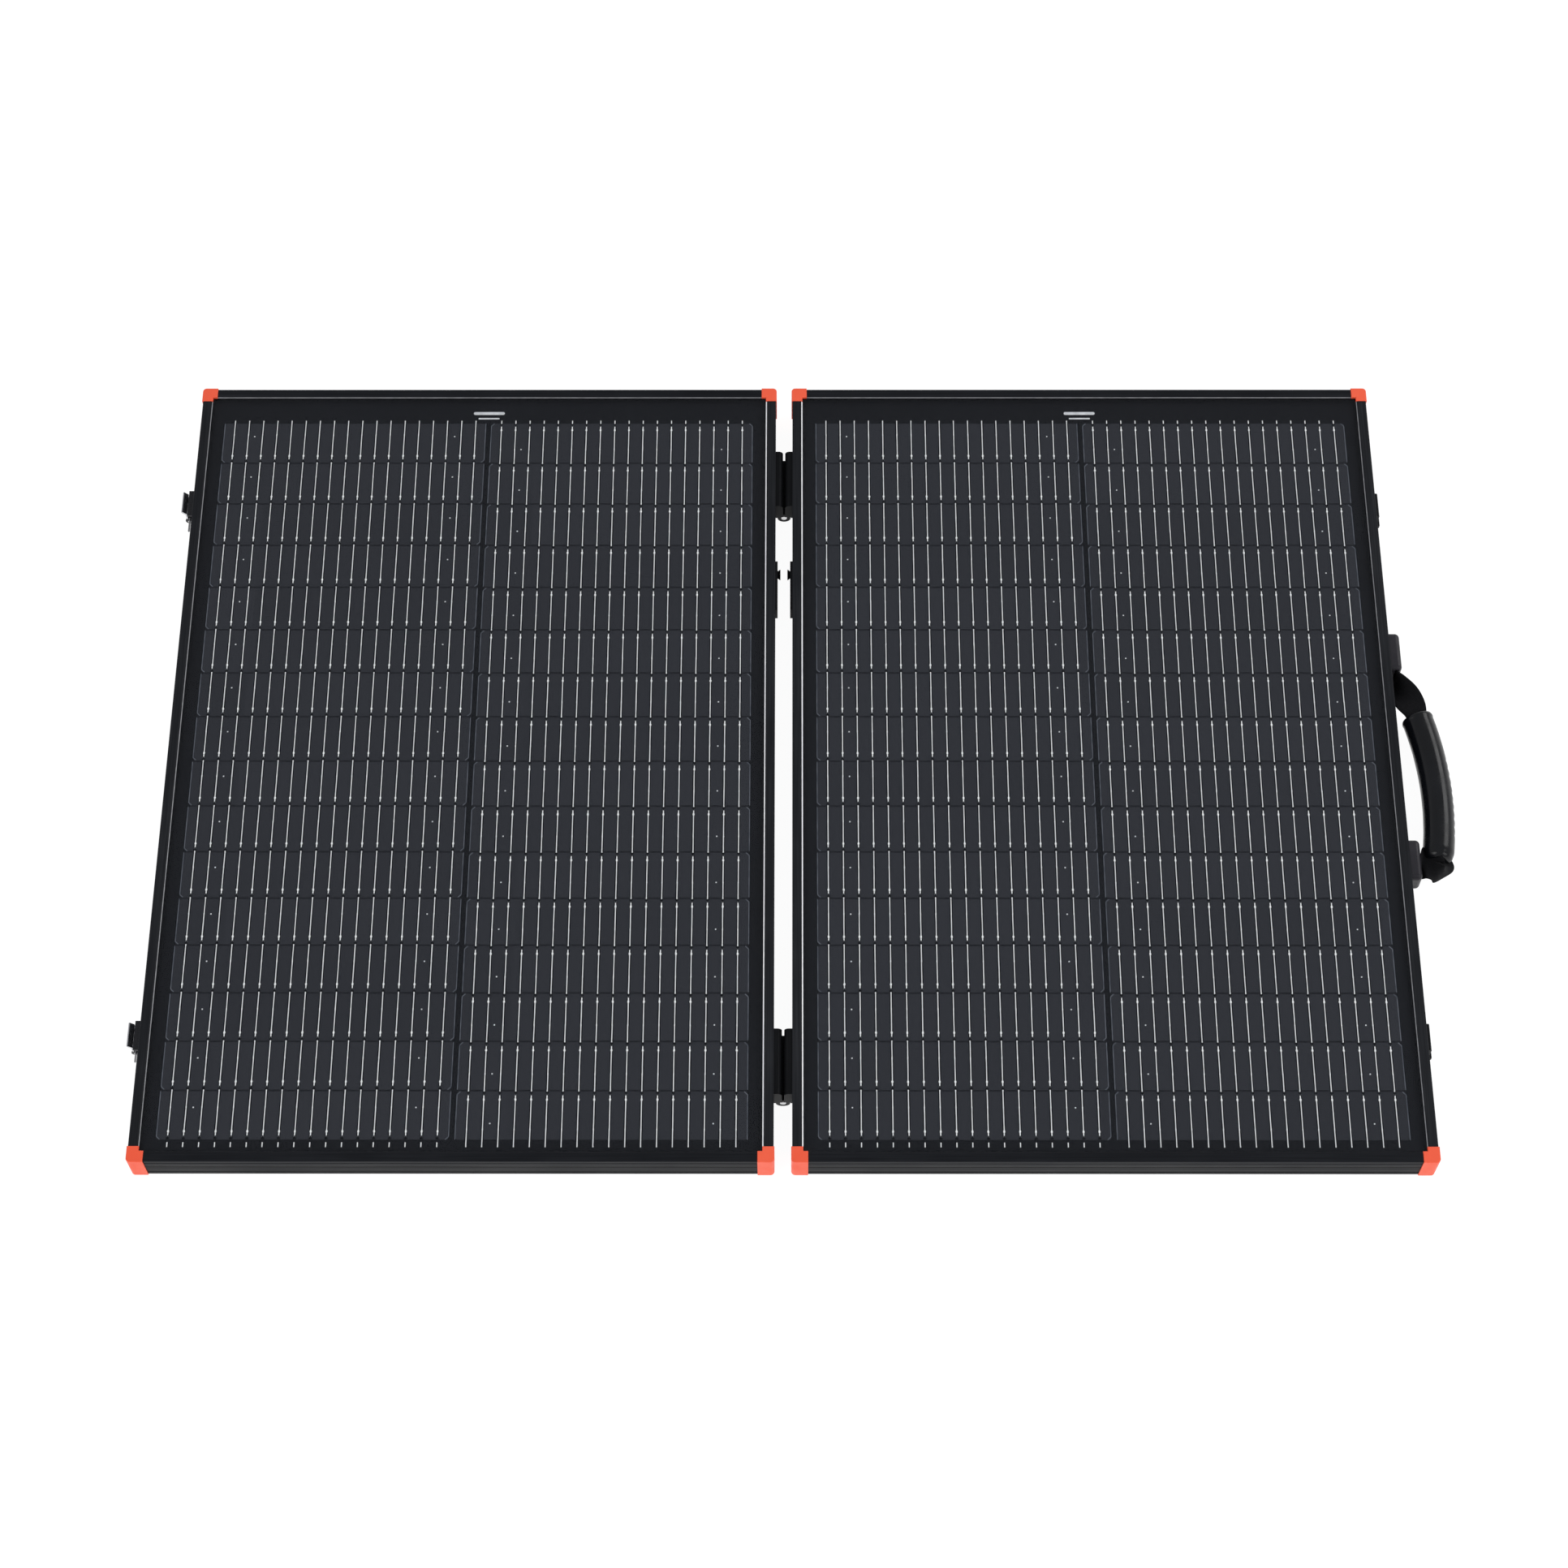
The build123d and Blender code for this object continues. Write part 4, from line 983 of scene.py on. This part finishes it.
def straps():
    """The webbing: a half twist into the grip's far end, a folded corner at its near end."""
    up, out, along = Vector((0, 0, 1)), Vector((1, 0, 0)), Vector((0, 1, 0))
    far = [
        (handle_point(0.090, 0.0048), up, 0.0080),
        (handle_point(0.0745, 0.0048), up, 0.0081),
        (handle_point(0.068, 0.0064), up + out * 0.35, 0.0098),
        (handle_point(0.059, 0.0100), up * 0.75 + out, 0.0114),
        (handle_point(0.050, 0.0134), up * 0.15 + out - along * 0.1, 0.0119),
        (handle_point(0.0425, 0.0145), out - up * 0.12 - along * 0.15, 0.0119),
        (handle_point(0.036, 0.0176), out - up * 0.05 - along * 0.12, 0.0085),
        (handle_point(0.029, 0.0190), out - along * 0.12, 0.0080),
    ]
    made = band("strap_far", far)
    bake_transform(made)
    near = [
        (handle_point(-0.0930, 0.0058), up, 0.0078),
        (handle_point(-0.0925, 0.0084), up + along * 0.45, 0.0082),
        (handle_point(-0.0895, 0.0104, 0.0004), along + up * 0.5, 0.0112),
        (handle_point(-0.0885, 0.0132, 0.0008), along + up * 0.1, 0.0124),
        (handle_point(-0.0908, 0.0180, 0.0010), along * 0.9 + out * 0.06 + up * 0.4, 0.0110),
        (handle_point(-0.0948, 0.0226, 0.0008), along * 0.5 + out * 0.2 + up * 0.84, 0.0112),
        (handle_point(-0.0950, 0.0266, 0.0005), up + along * 0.05 - out * 0.12, 0.0110),
        (handle_point(-0.0915, 0.0284, 0.0002), up * 0.75 - out * 0.66, 0.0102),
        (handle_point(-0.0875, 0.0262, 0.0), up * 0.3 - out * 0.95, 0.0090),
        (handle_point(-0.0820, 0.0232, 0.0), -out, 0.0080),
    ]
    made = band("strap_near", near)
    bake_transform(made)
    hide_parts("handle_strap")


grip()
straps()


# ---------------------------------------------------------------- stage, light and camera

FLOOR_HALF = 9.0
FLOOR_GLOW = 0.94
SKY = 0.58
HORIZON = 1.72  # against the sky above it, so that the floor's far edge meets white
# Each lamp's name, place, width and power. All of them aim at the origin.
LAMPS = (
    ("key", (-2.3, -1.7, 2.6), 2.0, 34.0),
    ("fill", (2.5, -1.5, 2.4), 2.0, 24.0),
    ("side", (2.6, 1.5, 2.1), 1.6, 26.0),
)


def floor():
    """A plain pale floor under the object."""
    corners = [(x * FLOOR_HALF, y * FLOOR_HALF, 0) for x, y in ((-1, -1), (1, -1), (1, 1), (-1, 1))]
    mesh = bpy.data.meshes.new("floor")
    mesh.from_pydata(corners, [], [(0, 1, 2, 3)])
    made = bpy.data.objects.new("floor", mesh)
    bpy.context.scene.collection.objects.link(made)
    finish = Finish("floor_paper").set(Roughness=0.9, IOR=1.3)
    tone = finish.remap(finish.noise(3.0, 2.0), 0.0, 1.0)
    finish.colour(finish.mix(tone, (0.19, 0.19, 0.19), (0.21, 0.21, 0.21)))
    finish.set(Emission_Color=(1.0, 1.0, 1.0, 1.0), Emission_Strength=FLOOR_GLOW)
    mesh.materials.append(finish.material)


def sky():
    """Soft studio surround: white at the horizon, dimmer overhead."""
    world = bpy.data.worlds.new("studio")
    world.use_nodes = True
    tree = world.node_tree
    tree.nodes.clear()
    out = tree.nodes.new("ShaderNodeOutputWorld")
    background = tree.nodes.new("ShaderNodeBackground")
    direction = tree.nodes.new("ShaderNodeTexCoord")
    split = tree.nodes.new("ShaderNodeSeparateXYZ")
    ramp = tree.nodes.new("ShaderNodeValToRGB")
    tree.links.new(direction.outputs["Generated"], split.inputs[0])
    tree.links.new(split.outputs["Z"], ramp.inputs[0])
    tree.links.new(ramp.outputs[0], background.inputs[0])
    tree.links.new(background.outputs[0], out.inputs[0])
    elements = ramp.color_ramp.elements
    elements[0].position, elements[0].color = 0.0, (HORIZON, HORIZON, HORIZON, 1.0)
    elements[1].position, elements[1].color = 1.0, (0.86, 0.88, 0.92, 1.0)
    for place, grey in ((0.06, HORIZON), (0.16, 1.0), (0.42, 1.0), (0.56, 0.84), (0.8, 0.8)):
        elements.new(place).color = (grey, grey, grey * 1.03, 1.0)
    background.inputs["Strength"].default_value = SKY
    bpy.context.scene.world = world


def lamps():
    """Large soft lamps at the sides and in front."""
    for name, place, size, power in LAMPS:
        light = bpy.data.lights.new(name, "AREA")
        light.shape = "SQUARE"
        light.size = size
        light.energy = power
        made = bpy.data.objects.new(name, light)
        made.location = place
        made.rotation_euler = (-Vector(place)).to_track_quat("-Z", "Y").to_euler()
        bpy.context.scene.collection.objects.link(made)


LENS = 74.29
SENSOR = 36.0
CAMERA_AT = (0.00754, -1.1563, 2.2056)  # from the floor under the middle of the fold
CAMERA_DOWN, CAMERA_YAW, CAMERA_ROLL = 62.57, 0.362, 0.309  # degrees


def camera():
    """The viewing angle: high in front of the fold, almost square to it."""
    data = bpy.data.cameras.new("camera")
    data.lens = LENS
    data.sensor_width = SENSOR
    data.clip_end = 60.0
    made = bpy.data.objects.new("camera", data)
    made.location = Vector(CAMERA_AT) + Vector((FOLD_X, 0, 0))
    yaw = Matrix.Rotation(math.radians(CAMERA_YAW), 4, "Z")
    pitch = Matrix.Rotation(math.radians(90 - CAMERA_DOWN), 4, "X")
    roll = Matrix.Rotation(math.radians(-CAMERA_ROLL), 4, "Z")
    made.rotation_euler = (yaw @ pitch @ roll).to_euler()
    bpy.context.scene.collection.objects.link(made)
    bpy.context.scene.camera = made


floor()
sky()
lamps()
camera()
bpy.context.scene.view_settings.view_transform = "Standard"
bpy.context.scene.view_settings.look = "None"
